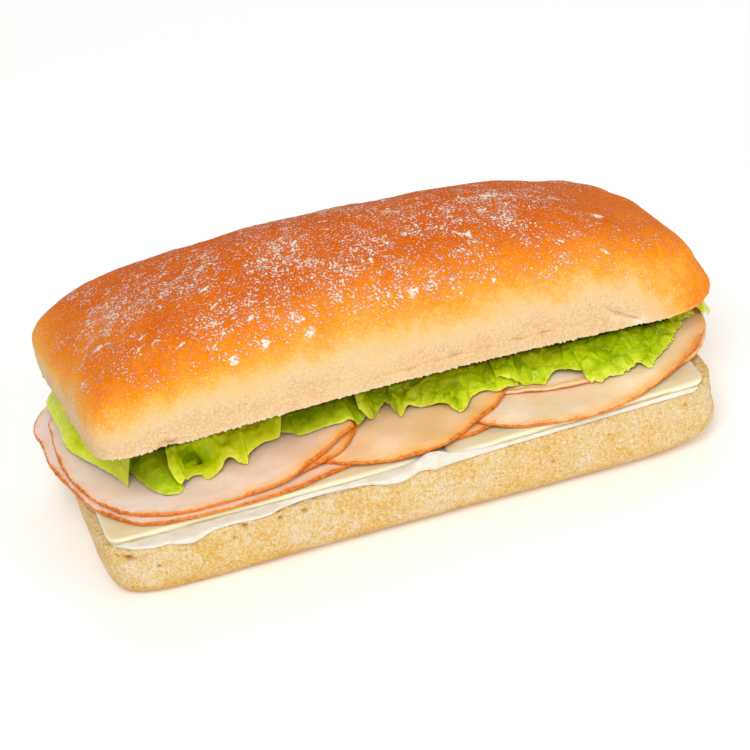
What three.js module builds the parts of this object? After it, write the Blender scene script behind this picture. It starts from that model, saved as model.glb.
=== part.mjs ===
import * as THREE from "three";
import { mergeVertices } from "three/addons/utils/BufferGeometryUtils.js";

// Turkey sandwich on a flat oblong roll, in millimetres.
// X runs along the roll, the open front faces -Y, and the flat base lies on Z = 0.

// Free space kept between neighbours that touch on the real thing.
const GAP = 0.3;

// Lower half of the roll: a squarish block with a rounded lower edge and a flat cut top, which
// rises to the right by so much for each millimetre along X.
const HEEL = {
  length: 199,
  width: 88,
  height: 22,
  rise: 0.03,
  edge: 9.7,
  squareness: 10,
  arris: 0.7,
  around: 52,
};
// The lower edge is tighter at the front left corner, by this share.
const HEEL_TIGHT_CORNER = 0.4;

// Upper half of the roll, in its own frame: Z = 0 is its cut face, which bows up in the middle.
const CROWN = {
  length: 204,
  width: 90,
  height: 38.8,
  widest: 9.8,
  squareness: 10.8,
  topSquareness: 2.9,
  domePower: 1.74,
  endSlope: 1.66,
  cutInset: 0.9,
  narrowing: 0.079,
  lowering: 0.05,
  bow: 1.6,
  around: 60,
  cutShares: [0.3, 0.55, 0.8],
};
// The upper half lies on the filling, opened at the front and a little lower at the right.
const CROWN_PLACE = { x: 3, y: 7.5, z: 41.9, tilt: -8.9, lean: 2.1, turn: 1.9 };
// A shallow crease along the front of the upper half, just above the cut.
const CREASE = { from: -20, to: 68, height: 3.6, depth: 0.7 };

// Sauce between the lower half and the cheese: a thin bed with a bead squeezed out at the front,
// which turns back at both ends.
const SAUCE = { thickness: 0.7, left: -98.2, right: 93.5, back: 37.5, bead: 0.75, endRadius: 4.5 };
// Swellings of that bead: place along X, half width, how far it stands out, hangs down and stands up.
const SAUCE_SWELLS = [
  { x: -86, spread: 8, out: 0.4, down: 0.2, up: 0.2 },
  { x: -72, spread: 4.5, out: 0.9, down: 2.3, up: 0.1 },
  { x: -56, spread: 12, out: 0.9, down: 0.2, up: 0.6 },
  { x: -12, spread: 9, out: 0.5, down: 0.2, up: 0.3 },
  { x: -1, spread: 4.5, out: 0.9, down: 0.9, up: 0.5 },
  { x: 6, spread: 3.2, out: 1.5, down: 0.7, up: 3 },
  { x: 15, spread: 5, out: 0.5, down: 0.2, up: 0.5 },
];

// Cheese slices: middle, size, turn about Z in degrees.
const CHEESE = { thickness: 2.5, cornerRadius: 3.5, topInset: 0.25, around: 32 };
const CHEESE_SLICES = [
  { name: "cheese_left", x: -46.5, y: -0.2, length: 100, width: 82, turn: -3 },
  { name: "cheese_right", x: 51.5, y: -2.8, length: 85, width: 82, turn: 0.4 },
];

// Turkey slices from the lowest to the uppermost: middle, half length, reach to the front and back.
const TURKEY = { thickness: 1.5, around: 30, ringShares: [0.3, 0.58, 0.8, 0.93, 1] };
const TURKEY_SLICES = [
  { x: -52, y: 18, half: 54, front: 59.4, back: 22, squareness: 3, lift: 0 },
  { x: 81, y: 12, half: 28, front: 47.6, back: 27, squareness: 2.6, lift: 0 },
  { x: 11, y: 14, half: 29, front: 54, back: 24, squareness: 2.4, lift: 0 },
  { x: 58, y: 12, half: 50.5, front: 60, back: 26, squareness: 2.3, lift: 0 },
  { x: 58, y: 14, half: 40, front: 49.5, back: 16, squareness: 2.3, lift: 0 },
  { x: 0, y: 12, half: 44.5, front: 56, back: 26, squareness: 2.3, lift: 0 },
  { x: -36, y: 14, half: 29, front: 50, back: 20, squareness: 2.6, lift: 0 },
  { x: -51, y: 16, half: 51.5, front: 55.8, back: 23, squareness: 3, lift: 2 },
];
// Where the uppermost slice is lifted: offset of the spot from the slice's middle, and its size.
const LIFT_SPOT = { x: 40, y: -42, radius: 14 };
// Distance over which a slice bridges a step beneath it, and the fall of what hangs past the cheese.
const DRAPE = { reach: 8, softness: 5, overhangSlope: 0.3 };

// Lettuce leaves from the lowest to the uppermost, each between a hidden root line and its margin.
// crest is the leaf's height in the free wedge (0 filling, 1 bread), lifts are its margin's heights
// in millimetres above the filling, waves and swing are the count and size of its frills.
const LETTUCE_THICKNESS = 0.6;
const LEAVES = [
  {
    name: "lettuce_middle",
    root: [[-46, 30], [-26, 34], [-8, 34]],
    margin: [[-43, -22], [-35, -27], [-26, -28], [-15, -26], [-8, -19]],
    lifts: [1, 0.4, 0.4, 0.8, 1],
    crest: 0.5,
    waves: 1.5,
    swing: 0.5,
    cells: [12, 10],
  },
  {
    name: "lettuce_centre",
    root: [[-5, 34], [12, 36], [29, 34]],
    margin: [[-13, -17], [-1, -28], [6, -26], [16, -35], [24, -30], [34, -28]],
    lifts: [1.5, 0.3, 1.6, 0.3, 1.4, 0.5],
    crest: 0.55,
    waves: 4,
    swing: 1.1,
    cells: [18, 11],
  },
  {
    name: "lettuce_right",
    root: [[33, 32], [60, 28], [84, 18]],
    margin: [[32, -28], [46, -31], [57, -29], [62, -37], [71, -35], [79, -38], [90, -30], [97, -20]],
    lifts: [1.8, 0.6, 1.8, 0.3, 1.2, 0.4, 0.8, 1.6],
    crest: 0.5,
    waves: 5,
    swing: 1,
    cells: [24, 10],
  },
  {
    name: "lettuce_tip",
    root: [[91, 6], [93, -4], [94, -12]],
    margin: [[103, 4], [107, -10], [106, -19]],
    lifts: [1, 2, 1],
    crest: 0.5,
    waves: 1,
    swing: 0.4,
    cells: [6, 5],
  },
  {
    name: "lettuce_corner",
    root: [[-84, 6], [-74, 8], [-62, 8]],
    margin: [[-86, -20], [-81, -28], [-76, -33], [-70, -34], [-65, -30]],
    lifts: [1, 0.4, 0.3, 0.6, 1],
    crest: 0.42,
    waves: 1,
    swing: 0.4,
    cells: [12, 9],
  },
  {
    name: "lettuce_fold",
    root: [[-70, 14], [-56, 16], [-44, 14]],
    margin: [[-72, -34], [-66, -38], [-60, -37], [-53, -33], [-46, -31], [-39, -25], [-34, -20]],
    lifts: [1.2, 4, 0.6, 0.8, 2, 2.4, 1.4],
    crest: 0.5,
    waves: 2.5,
    swing: 1.2,
    cells: [16, 9],
  },
  {
    name: "lettuce_end",
    root: [[-82, 34], [-82, 10], [-75, -10]],
    margin: [[-99, 34], [-99.5, 20], [-97, 4], [-91, -10], [-86, -25]],
    lifts: [1, 0.8, 0.8, 0.6, 0.5],
    crest: 0.5,
    waves: 3,
    swing: 0.5,
    cells: [20, 6],
  },
];

// Finishes: colour, roughness.
const FINISH = {
  crumb: { color: 0xe3cf9f, roughness: 0.9 },
  crust: { color: 0xcd8233, roughness: 0.7 },
  sauce: { color: 0xf2ede0, roughness: 0.25 },
  cheese: { color: 0xeedd9e, roughness: 0.4 },
  turkey: { color: 0xe6bd9c, roughness: 0.5 },
  lettuce: { color: 0x9fbf2a, roughness: 0.4 },
};

const TURN = 2 * Math.PI;
const toRadians = THREE.MathUtils.degToRad;
const clamp = THREE.MathUtils.clamp;
const lerp = THREE.MathUtils.lerp;

/** Gentle unevenness between about -1 and 1: two crossed pairs of sine waves. */
function unevenness(x, y, wavelength, phase) {
  const k = TURN / wavelength;
  const wide = Math.sin(k * x + phase) * Math.cos(0.83 * k * y + 1.7 * phase);
  const fine = Math.sin(1.9 * k * x - 1.3 * k * y + 2.3 * phase);
  return (wide + 0.5 * fine) / 1.5;
}

/** A bell of height 1 at distance 0 and about 0.37 at the given spread. */
function bell(distance, spread) {
  return Math.exp(-((distance / spread) ** 2));
}

/** A geometry from a list of [x, y, z] points and a list of triangles of their numbers. */
function bodyOf(points, triangles) {
  const geometry = new THREE.BufferGeometry();
  geometry.setAttribute("position", new THREE.Float32BufferAttribute(points.flat(), 3));
  geometry.setIndex(triangles.flat());
  return geometry;
}

/** A closed body from rings of equal count, bottom to top, with a fan at each end. */
function ringBody(rings) {
  const count = rings[0].length;
  const points = rings.flat();
  const triangles = [];
  for (let r = 0; r + 1 < rings.length; r++) {
    for (let i = 0; i < count; i++) {
      const a = r * count + i;
      const b = r * count + ((i + 1) % count);
      triangles.push([a, b, b + count], [a, b + count, a + count]);
    }
  }
  const middleOf = (ring) => [0, 1, 2].map((k) => ring.reduce((sum, p) => sum + p[k], 0) / count);
  const bottom = points.push(middleOf(rings[0])) - 1;
  const top = points.push(middleOf(rings.at(-1))) - 1;
  const topRing = (rings.length - 1) * count;
  for (let i = 0; i < count; i++) {
    const next = (i + 1) % count;
    triangles.push([bottom, next, i], [top, topRing + i, topRing + next]);
  }
  return bodyOf(points, triangles);
}

/**
 * A closed thin body between a lower and an upper face that share one pattern of triangles.
 * rim is the loop of point numbers round the pattern, counter-clockwise from above.
 */
function sheetBody(lower, upper, pattern, rim) {
  const shift = lower.length;
  const triangles = [];
  for (const [a, b, c] of pattern) {
    triangles.push([a, c, b], [a + shift, b + shift, c + shift]);
  }
  rim.forEach((a, i) => {
    const b = rim[(i + 1) % rim.length];
    triangles.push([a, b, b + shift], [a, b + shift, a + shift]);
  });
  return bodyOf([...lower, ...upper], triangles);
}

/** Triangles and rim of a disc: point 0 in the middle, then rings of equal count. */
function discPattern(ringCount, around) {
  const number = (ring, i) => 1 + ring * around + (i % around);
  const pattern = [];
  for (let i = 0; i < around; i++) {
    pattern.push([0, number(0, i), number(0, i + 1)]);
    for (let r = 0; r + 1 < ringCount; r++) {
      const [a, b] = [number(r, i), number(r, i + 1)];
      const [c, d] = [number(r + 1, i + 1), number(r + 1, i)];
      pattern.push([a, d, c], [a, c, b]);
    }
  }
  const rim = Array.from({ length: around }, (_, i) => number(ringCount - 1, i));
  return { pattern, rim };
}

/** Triangles and rim of a grid of cells, stored row by row along the first direction. */
function gridPattern(along, deep) {
  const number = (i, j) => j * (along + 1) + i;
  const pattern = [];
  for (let j = 0; j < deep; j++) {
    for (let i = 0; i < along; i++) {
      const [a, b] = [number(i, j), number(i + 1, j)];
      const [c, d] = [number(i + 1, j + 1), number(i, j + 1)];
      pattern.push([a, b, c], [a, c, d]);
    }
  }
  const rim = [];
  for (let i = 0; i < along; i++) rim.push(number(i, 0));
  for (let j = 0; j < deep; j++) rim.push(number(along, j));
  for (let i = along; i > 0; i--) rim.push(number(i, deep));
  for (let j = deep; j > 0; j--) rim.push(number(0, j));
  return { pattern, rim };
}

/** Point on a squarish oval of half sizes a and b; the angle is that of the unit square. */
function squarishPoint(a, b, squareness, angle) {
  const c = Math.cos(angle);
  const s = Math.sin(angle);
  const reach = (Math.abs(c) ** squareness + Math.abs(s) ** squareness) ** (-1 / squareness);
  return [a * c * reach, b * s * reach];
}

/** Angles whose points lie evenly round a squarish oval. */
function evenAngles(a, b, squareness, count) {
  const steps = 2400;
  const walked = [0];
  let last = squarishPoint(a, b, squareness, 0);
  for (let i = 1; i <= steps; i++) {
    const point = squarishPoint(a, b, squareness, (i / steps) * TURN);
    walked.push(walked[i - 1] + Math.hypot(point[0] - last[0], point[1] - last[1]));
    last = point;
  }
  return Array.from({ length: count }, (_, k) => {
    const target = (k / count) * walked[steps];
    const i = walked.findIndex((length) => length >= target);
    return (i / steps) * TURN;
  });
}

/** Height of the lower half's cut face at a place along X. */
function heelTop(x) {
  return HEEL.height + HEEL.rise * x;
}

/** Lower half of the roll: each ring is a share of the full height, so the top one slants. */
function buildHeel() {
  const { length, width, height, edge, squareness, arris, around } = HEEL;
  const angles = evenAngles(length / 2, width / 2, squareness, around);
  const ring = (z, insetOf) =>
    angles.map((angle) => {
      const [ex, ey] = squarishPoint(length / 2, width / 2, squareness, angle);
      const bump = 0.35 * unevenness(ex + z, ey, 34, 0.6);
      const inset = insetOf(angle) - bump * Math.min(1, z / edge);
      const [x, y] = squarishPoint(length / 2 - inset, width / 2 - inset, squareness, angle);
      return [x, y, (z / height) * heelTop(x)];
    });
  const tight = (angle) => {
    const fromCorner = Math.atan2(Math.sin(angle - 1.25 * Math.PI), Math.cos(angle - 1.25 * Math.PI));
    return 1 - HEEL_TIGHT_CORNER * bell(fromCorner, 0.3);
  };
  const rings = [0, 0.05, 0.16, 0.36, 0.65, 1].map((share) => {
    const inset = edge * (1 - Math.sqrt(1 - (1 - share) ** 2));
    return ring(edge * share, (angle) => inset * tight(angle));
  });
  rings.push(ring(height - 5, () => 0));
  rings.push(ring(height - arris, () => 0));
  rings.push(ring(height, () => arris));
  return ringBody(rings);
}

/** Height of the upper half's bowed cut face, in the upper half's own frame. */
function crownCutHeight(x) {
  return CROWN.bow * (1 - 2 * (x / (CROWN.length / 2)) ** 2);
}

/** Upper half of the roll, in its own frame. */
function buildCrown() {
  const { length, width, height, widest, squareness, around } = CROWN;
  const angles = evenAngles(length / 2, width / 2, squareness, around);
  const ring = (z, inset, endInset, power) =>
    angles.map((angle) => {
      const [px, py] = squarishPoint(length / 2 - endInset, width / 2 - inset, power, angle);
      const share = px / (length / 2);
      const along = clamp((px - CREASE.from) / 12, 0, 1) * clamp((CREASE.to - px) / 12, 0, 1);
      const front = py < -width / 4 ? 1 : 0;
      const crease = front * along * CREASE.depth * bell(z - CREASE.height, 1.5);
      const bump = 0.5 * unevenness(px, py + z, 46, 2.1) * Math.min(1, z / widest);
      const y = py * (1 - CROWN.narrowing * share) * (1 - (crease - bump) / (width / 2));
      const sink = 1 - CROWN.lowering * share * (z / height);
      return [px, y, z * sink + crownCutHeight(px)];
    });
  const rings = CROWN.cutShares.map((share) => {
    const inset = (width / 2) * (1 - share);
    return ring(0, inset, (length / 2) * (1 - share), squareness);
  });
  for (const z of [0, CREASE.height / 2, CREASE.height, 1.6 * CREASE.height, widest]) {
    const inset = CROWN.cutInset * (1 - z / widest) ** 2;
    rings.push(ring(z, inset, inset, squareness));
  }
  const domeSteps = 8;
  const flattest = 0.985;
  for (let i = 1; i <= domeSteps; i++) {
    const rise = Math.min(Math.sin(((i / domeSteps) * Math.PI) / 2), flattest);
    const inset = (width / 2) * (1 - (1 - rise ** CROWN.domePower) ** (1 / CROWN.domePower));
    const power = lerp(squareness, CROWN.topSquareness, rise);
    rings.push(ring(lerp(widest, height, rise), inset, CROWN.endSlope * inset, power));
  }
  return ringBody(rings);
}

/** Turns and moves an object to the place of the upper half. */
function placeCrown(object) {
  const { x, y, z, tilt, lean, turn } = CROWN_PLACE;
  object.position.set(x, y, z);
  object.rotation.set(toRadians(tilt), toRadians(lean), toRadians(turn), "ZYX");
  object.updateMatrixWorld();
  return object;
}

const crownFrame = placeCrown(new THREE.Object3D());

/** Height of the upper half's cut face over a point, which also goes on past its outline. */
function underCrown(x, y) {
  const normal = new THREE.Vector3(0, 0, 1).transformDirection(crownFrame.matrixWorld);
  const at = crownFrame.position;
  const level = at.z - (normal.x * (x - at.x) + normal.y * (y - at.y)) / normal.z;
  return level + crownCutHeight(x - at.x);
}

/** A cheese slice's front edge: its Y at a given X. */
function cheeseFront(slice, x) {
  const slope = Math.tan(toRadians(slice.turn));
  return slice.y - slice.width / 2 / Math.cos(toRadians(slice.turn)) + slope * (x - slice.x);
}

/** Height of the cheese's underside at a place along X. */
function cheeseBottom(x) {
  return heelTop(x) + SAUCE.thickness + 2 * GAP;
}

/** Cross-section of the sauce at a place along X, as [y, z] points from the back, underside first. */
function sauceSection(x) {
  const swell = { out: 0.35, down: 0, up: 0 };
  for (const { x: at, spread, out, down, up } of SAUCE_SWELLS) {
    const share = bell(x - at, spread);
    swell.out += out * share;
    swell.down += down * share;
    swell.up += up * share;
  }
  const [left, right] = CHEESE_SLICES;
  const passed = clamp((x - 2) / 6, 0, 1);
  const cheese = lerp(cheeseFront(left, x), cheeseFront(right, x), passed) - GAP;
  const front = Math.min(-HEEL.width / 2 - SAUCE.bead, cheese);
  const low = heelTop(x) + GAP;
  const high = low + SAUCE.thickness;
  const endShare = clamp(1 - Math.min(x - SAUCE.left, SAUCE.right - x) / SAUCE.endRadius, 0, 1);
  const crest = endShare > 0 ? 0 : 1;
  const pull = SAUCE.endRadius * (1 - Math.sqrt(1 - endShare ** 2));
  const bead = [
    [front + 1.6, low],
    [front, low - swell.down],
    [front - 0.55 * swell.out, low - 0.2 - swell.down],
    [front - swell.out, low + 0.4 - 0.5 * swell.down],
    [front - 0.8 * swell.out, high + crest * (0.1 + 0.5 * swell.up)],
    [lerp(front, cheese, 0.6), high + crest * (0.4 + swell.up)],
    [cheese, high + crest * (0.5 + swell.up)],
    [cheese + 0.1, high],
  ].map(([y, z]) => [y + pull, z]);
  return [[SAUCE.back, low], ...bead, [SAUCE.back, high]];
}

/** The sauce: its section carried along X, with a flat cap at each end. */
function buildSauce() {
  const stations = [];
  for (let x = SAUCE.left; x < 22; x += 2.4) stations.push(x);
  const rest = 9;
  const from = stations.at(-1);
  const to = SAUCE.right - SAUCE.endRadius;
  for (let i = 1; i <= rest; i++) stations.push(lerp(from, to, i / rest));
  stations.push(SAUCE.right - 0.4 * SAUCE.endRadius, SAUCE.right);
  const sections = stations.map((x) => sauceSection(x).map(([y, z]) => [x, y, z]));
  const count = sections[0].length;
  const triangles = [];
  for (let s = 0; s + 1 < sections.length; s++) {
    for (let i = 0; i < count; i++) {
      const a = s * count + i;
      const b = s * count + ((i + 1) % count);
      triangles.push([a, a + count, b + count], [a, b + count, b]);
    }
  }
  for (const s of [0, sections.length - 1]) {
    const outline = sections[s].map(([, y, z]) => new THREE.Vector2(y, z));
    for (const corners of THREE.ShapeUtils.triangulateShape(outline, [])) {
      const facesRight = signedArea(corners.map((k) => sections[s][k].slice(1))) > 0;
      const [a, b, c] = corners.map((k) => s * count + k);
      triangles.push(facesRight === s > 0 ? [a, b, c] : [a, c, b]);
    }
  }
  return bodyOf(sections.flat(), triangles);
}

/** A cheese slice: a slab with round corners that lies on the sauce. */
function buildCheese({ x, y, length, width, turn }) {
  const { cornerRadius, thickness, topInset, around } = CHEESE;
  const squareness = width / cornerRadius;
  const angles = evenAngles(length / 2, width / 2, squareness, around);
  const still = new THREE.Vector2();
  const place = (angle, share, inset, rise) => {
    const [halfX, halfY] = [(length / 2 - inset) * share, (width / 2 - inset) * share];
    const [px, py] = squarishPoint(halfX, halfY, squareness, angle);
    const spot = new THREE.Vector2(px, py).rotateAround(still, toRadians(turn));
    return [x + spot.x, y + spot.y, cheeseBottom(x + spot.x) + rise];
  };
  const faceAt = (rise, inset) => {
    const rings = [0.6, 1].map((share) => angles.map((angle) => place(angle, share, inset, rise)));
    return [place(0, 0, inset, rise), ...rings.flat()];
  };
  const { pattern, rim } = discPattern(2, around);
  return sheetBody(faceAt(0, 0), faceAt(thickness, topInset), pattern, rim);
}

/** Heights of whatever lies uppermost in the filling, on a square grid. */
class Pile {
  static step = 1.5;
  static halfX = 114;
  static halfY = 57;

  constructor(heightOf) {
    this.columns = Math.round((2 * Pile.halfX) / Pile.step) + 1;
    this.rows = Math.round((2 * Pile.halfY) / Pile.step) + 1;
    this.heights = new Float64Array(this.columns * this.rows);
    for (let j = 0; j < this.rows; j++) {
      for (let i = 0; i < this.columns; i++) {
        this.heights[j * this.columns + i] = heightOf(i * Pile.step - Pile.halfX, j * Pile.step - Pile.halfY);
      }
    }
  }

  /** Height over a point, read between the four grid points round it. */
  heightAt(x, y) {
    const u = clamp((x + Pile.halfX) / Pile.step, 0, this.columns - 1.001);
    const v = clamp((y + Pile.halfY) / Pile.step, 0, this.rows - 1.001);
    const [i, j] = [Math.floor(u), Math.floor(v)];
    const at = (di, dj) => this.heights[(j + dj) * this.columns + i + di];
    return lerp(lerp(at(0, 0), at(1, 0), u - i), lerp(at(0, 1), at(1, 1), u - i), v - j);
  }

  /** A new pile whose every height comes from those within a radius of it, by a given rule. */
  spread(radius, rule) {
    const reach = Math.ceil(radius / Pile.step);
    const offsets = [];
    for (let dj = -reach; dj <= reach; dj++) {
      for (let di = -reach; di <= reach; di++) {
        if (Math.hypot(di, dj) * Pile.step <= radius) offsets.push([di, dj]);
      }
    }
    const result = new Pile(() => 0);
    for (let j = 0; j < this.rows; j++) {
      for (let i = 0; i < this.columns; i++) {
        const near = offsets.map(([di, dj]) => {
          const column = clamp(i + di, 0, this.columns - 1);
          const row = clamp(j + dj, 0, this.rows - 1);
          return this.heights[row * this.columns + column];
        });
        result.heights[j * this.columns + i] = rule(near);
      }
    }
    return result;
  }

  /** A new pile raised to the highest point within a radius. */
  raised(radius) {
    return this.spread(radius, (near) => Math.max(...near));
  }

  /** A new pile averaged over a radius. */
  softened(radius) {
    return this.spread(radius, (near) => near.reduce((sum, z) => sum + z, 0) / near.length);
  }

  /** Raises the heights to the faces of a body that lies on the pile. */
  lay(geometry) {
    const position = geometry.getAttribute("position");
    const index = geometry.getIndex();
    const corner = (k) => new THREE.Vector3().fromBufferAttribute(position, index.getX(k));
    for (let t = 0; t < index.count; t += 3) {
      this.layTriangle(corner(t), corner(t + 1), corner(t + 2));
    }
  }

  /** Raises the heights under one triangle that faces up. */
  layTriangle(a, b, c) {
    const area = (b.x - a.x) * (c.y - a.y) - (b.y - a.y) * (c.x - a.x);
    if (area <= 0) return;
    const first = (low, half) => Math.ceil((low + half) / Pile.step);
    const last = (high, half) => Math.floor((high + half) / Pile.step);
    const [x0, x1] = [Math.min(a.x, b.x, c.x), Math.max(a.x, b.x, c.x)];
    const [y0, y1] = [Math.min(a.y, b.y, c.y), Math.max(a.y, b.y, c.y)];
    for (let j = first(y0, Pile.halfY); j <= last(y1, Pile.halfY); j++) {
      for (let i = first(x0, Pile.halfX); i <= last(x1, Pile.halfX); i++) {
        const x = i * Pile.step - Pile.halfX;
        const y = j * Pile.step - Pile.halfY;
        const u = ((x - a.x) * (c.y - a.y) - (y - a.y) * (c.x - a.x)) / area;
        const v = ((b.x - a.x) * (y - a.y) - (b.y - a.y) * (x - a.x)) / area;
        if (u < 0 || v < 0 || u + v > 1) continue;
        const cell = j * this.columns + i;
        const z = a.z + u * (b.z - a.z) + v * (c.z - a.z);
        this.heights[cell] = Math.max(this.heights[cell], z);
      }
    }
  }
}

/** Heights that the first slice lies on: the cheese, and a slope down past its edges. */
function cheeseLevel(x, y) {
  const pastX = Math.max(Math.abs(x) - HEEL.length / 2 + 2, 0);
  const frontEdge = cheeseFront(CHEESE_SLICES[x < 6 ? 0 : 1], x);
  const pastY = Math.max(frontEdge - y, y - SAUCE.back, 0);
  return cheeseBottom(x) + CHEESE.thickness - DRAPE.overhangSlope * Math.hypot(pastX, pastY);
}

/** A turkey slice: an uneven oval sheet draped over the pile. */
function buildTurkeySlice(pile, { x, y, half, front, back, squareness, lift }, number) {
  const support = pile.raised(DRAPE.reach).softened(DRAPE.softness);
  const { around, ringShares, thickness } = TURKEY;
  const angles = evenAngles(half, (front + back) / 2, squareness, around);
  const place = (angle, share) => {
    const uneven = 1 + 0.012 * Math.sin(3 * angle + number) + 0.008 * Math.sin(7 * angle + 2 * number);
    const reach = Math.sin(angle) < 0 ? front : back;
    const [px, py] = squarishPoint(half * share * uneven, reach * share * uneven, squareness, angle);
    const raise = lift * bell(Math.hypot(px - LIFT_SPOT.x, py - LIFT_SPOT.y), LIFT_SPOT.radius);
    return [x + px, y + py, support.heightAt(x + px, y + py) + GAP + raise];
  };
  const lower = [place(0, 0)];
  for (const share of ringShares) lower.push(...angles.map((angle) => place(angle, share)));
  const upper = lower.map(([px, py, pz]) => [px, py, pz + thickness]);
  const { pattern, rim } = discPattern(ringShares.length, around);
  return sheetBody(lower, upper, pattern, rim);
}

/** A smooth line through points of a plane, read by a share of its length. */
function lineThrough(points) {
  const curve = new THREE.SplineCurve(points.map(([px, py]) => new THREE.Vector2(px, py)));
  return (share) => curve.getPoint(share);
}

/** A lettuce leaf: a frilled sheet between the filling and the bread above it. */
function buildLeaf(pile, { root, margin, lifts, crest, waves, swing, cells }, number) {
  const [along, deep] = cells;
  const floor = pile.raised(3.5).softened(1.5);
  const rootLine = lineThrough(root);
  const marginLine = lineThrough(margin);
  const liftLine = lineThrough(lifts.map((z, i) => [i, z]));
  const place = (u, v) => {
    const from = rootLine(u);
    const to = marginLine(u);
    const frill = Math.sin(waves * TURN * u + number);
    const out = 1 + 0.035 * swing * frill * v ** 3;
    const px = lerp(from.x, to.x, v * out);
    const py = lerp(from.y, to.y, v * out);
    const low = floor.heightAt(px, py) + GAP;
    const high = underCrown(px, py) - GAP - 1.3 * LETTUCE_THICKNESS;
    const room = Math.max(high - low, 0);
    const arch = crest * Math.sin(Math.PI * Math.min(0.25 + 0.75 * v ** 1.2, 1));
    const edge = liftLine(u).y * v ** 4;
    const wave = swing * (1 + frill) * v ** 2 + 0.8 * (1 + unevenness(px, py, 17, number)) * arch;
    return [px, py, low + clamp(room * arch + edge + wave, 0, room)];
  };
  const lower = [];
  for (let j = 0; j <= deep; j++) {
    for (let i = 0; i <= along; i++) lower.push(place(i / along, j / deep));
  }
  const upper = lower.map(([px, py, pz]) => [px, py, pz + LETTUCE_THICKNESS]);
  const { pattern, rim } = gridPattern(along, deep);
  const runsBackwards = signedArea(rim.map((k) => lower[k])) < 0;
  const facing = pattern.map(([a, b, c]) => (runsBackwards ? [a, c, b] : [a, b, c]));
  return sheetBody(lower, upper, facing, runsBackwards ? rim.toReversed() : rim);
}

/** Area inside a loop seen from above, positive if it runs counter-clockwise. */
function signedArea(loop) {
  return loop.reduce((sum, [ax, ay], i) => {
    const [bx, by] = loop[(i + 1) % loop.length];
    return sum + (ax * by - bx * ay) / 2;
  }, 0);
}

const sandwich = new THREE.Group();

/** Adds a named mesh to the sandwich. */
function add(name, geometry, { color, roughness }) {
  const whole = mergeVertices(geometry);
  whole.computeVertexNormals();
  const material = new THREE.MeshStandardMaterial({ color, roughness, metalness: 0 });
  const mesh = new THREE.Mesh(whole, material);
  mesh.name = name;
  sandwich.add(mesh);
  return mesh;
}

add("bread_bottom", buildHeel(), FINISH.crumb);
add("mayonnaise", buildSauce(), FINISH.sauce);
for (const slice of CHEESE_SLICES) add(slice.name, buildCheese(slice), FINISH.cheese);

const pile = new Pile(cheeseLevel);
TURKEY_SLICES.forEach((slice, i) => {
  const geometry = buildTurkeySlice(pile, slice, i + 1);
  pile.lay(geometry);
  add(`turkey_${i + 1}`, geometry, FINISH.turkey);
});
LEAVES.forEach((leaf, i) => {
  const geometry = buildLeaf(pile, leaf, i + 1);
  pile.lay(geometry);
  add(leaf.name, geometry, FINISH.lettuce);
});

placeCrown(add("bread_top", buildCrown(), FINISH.crust));

export default sandwich;
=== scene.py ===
"""Turkey sandwich on a flat oblong roll: its dressed pieces, the studio and the camera.

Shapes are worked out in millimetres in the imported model's own frame: X runs along the roll, the
open front faces -Y and the flat base lies on Z = 0. They become metres where a mesh is made.
"""
import logging
from collections.abc import Callable, Sequence
from dataclasses import dataclass, field
from enum import Enum
from functools import partial

import bpy
import numpy as np
from mathutils import Matrix


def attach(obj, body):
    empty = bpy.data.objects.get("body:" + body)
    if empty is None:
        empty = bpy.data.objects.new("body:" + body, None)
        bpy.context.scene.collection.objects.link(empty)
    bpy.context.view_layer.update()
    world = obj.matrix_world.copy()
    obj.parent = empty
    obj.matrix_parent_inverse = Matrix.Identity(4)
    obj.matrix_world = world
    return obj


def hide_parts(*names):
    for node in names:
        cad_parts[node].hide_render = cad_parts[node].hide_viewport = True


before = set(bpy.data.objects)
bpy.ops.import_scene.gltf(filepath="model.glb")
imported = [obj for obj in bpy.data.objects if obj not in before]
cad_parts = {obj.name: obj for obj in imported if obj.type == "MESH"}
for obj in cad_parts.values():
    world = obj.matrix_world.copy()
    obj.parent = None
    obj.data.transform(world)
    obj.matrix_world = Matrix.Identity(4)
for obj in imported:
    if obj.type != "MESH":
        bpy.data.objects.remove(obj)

Array = np.ndarray
Faces = list[Array]
AddNode = Callable[..., bpy.types.NodeSocket]

MM = 0.001
TURN = 2 * np.pi
# Free space kept between pieces that touch on the real thing.
GAP = 0.12
# Sockets of a node that mixes colours: how much goes over, the two colours and the result.
SHARE, UNDER, OVER, MIXED = 0, 6, 7, 2

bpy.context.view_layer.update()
log = logging.getLogger("sandwich")


# Shape tools


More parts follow.
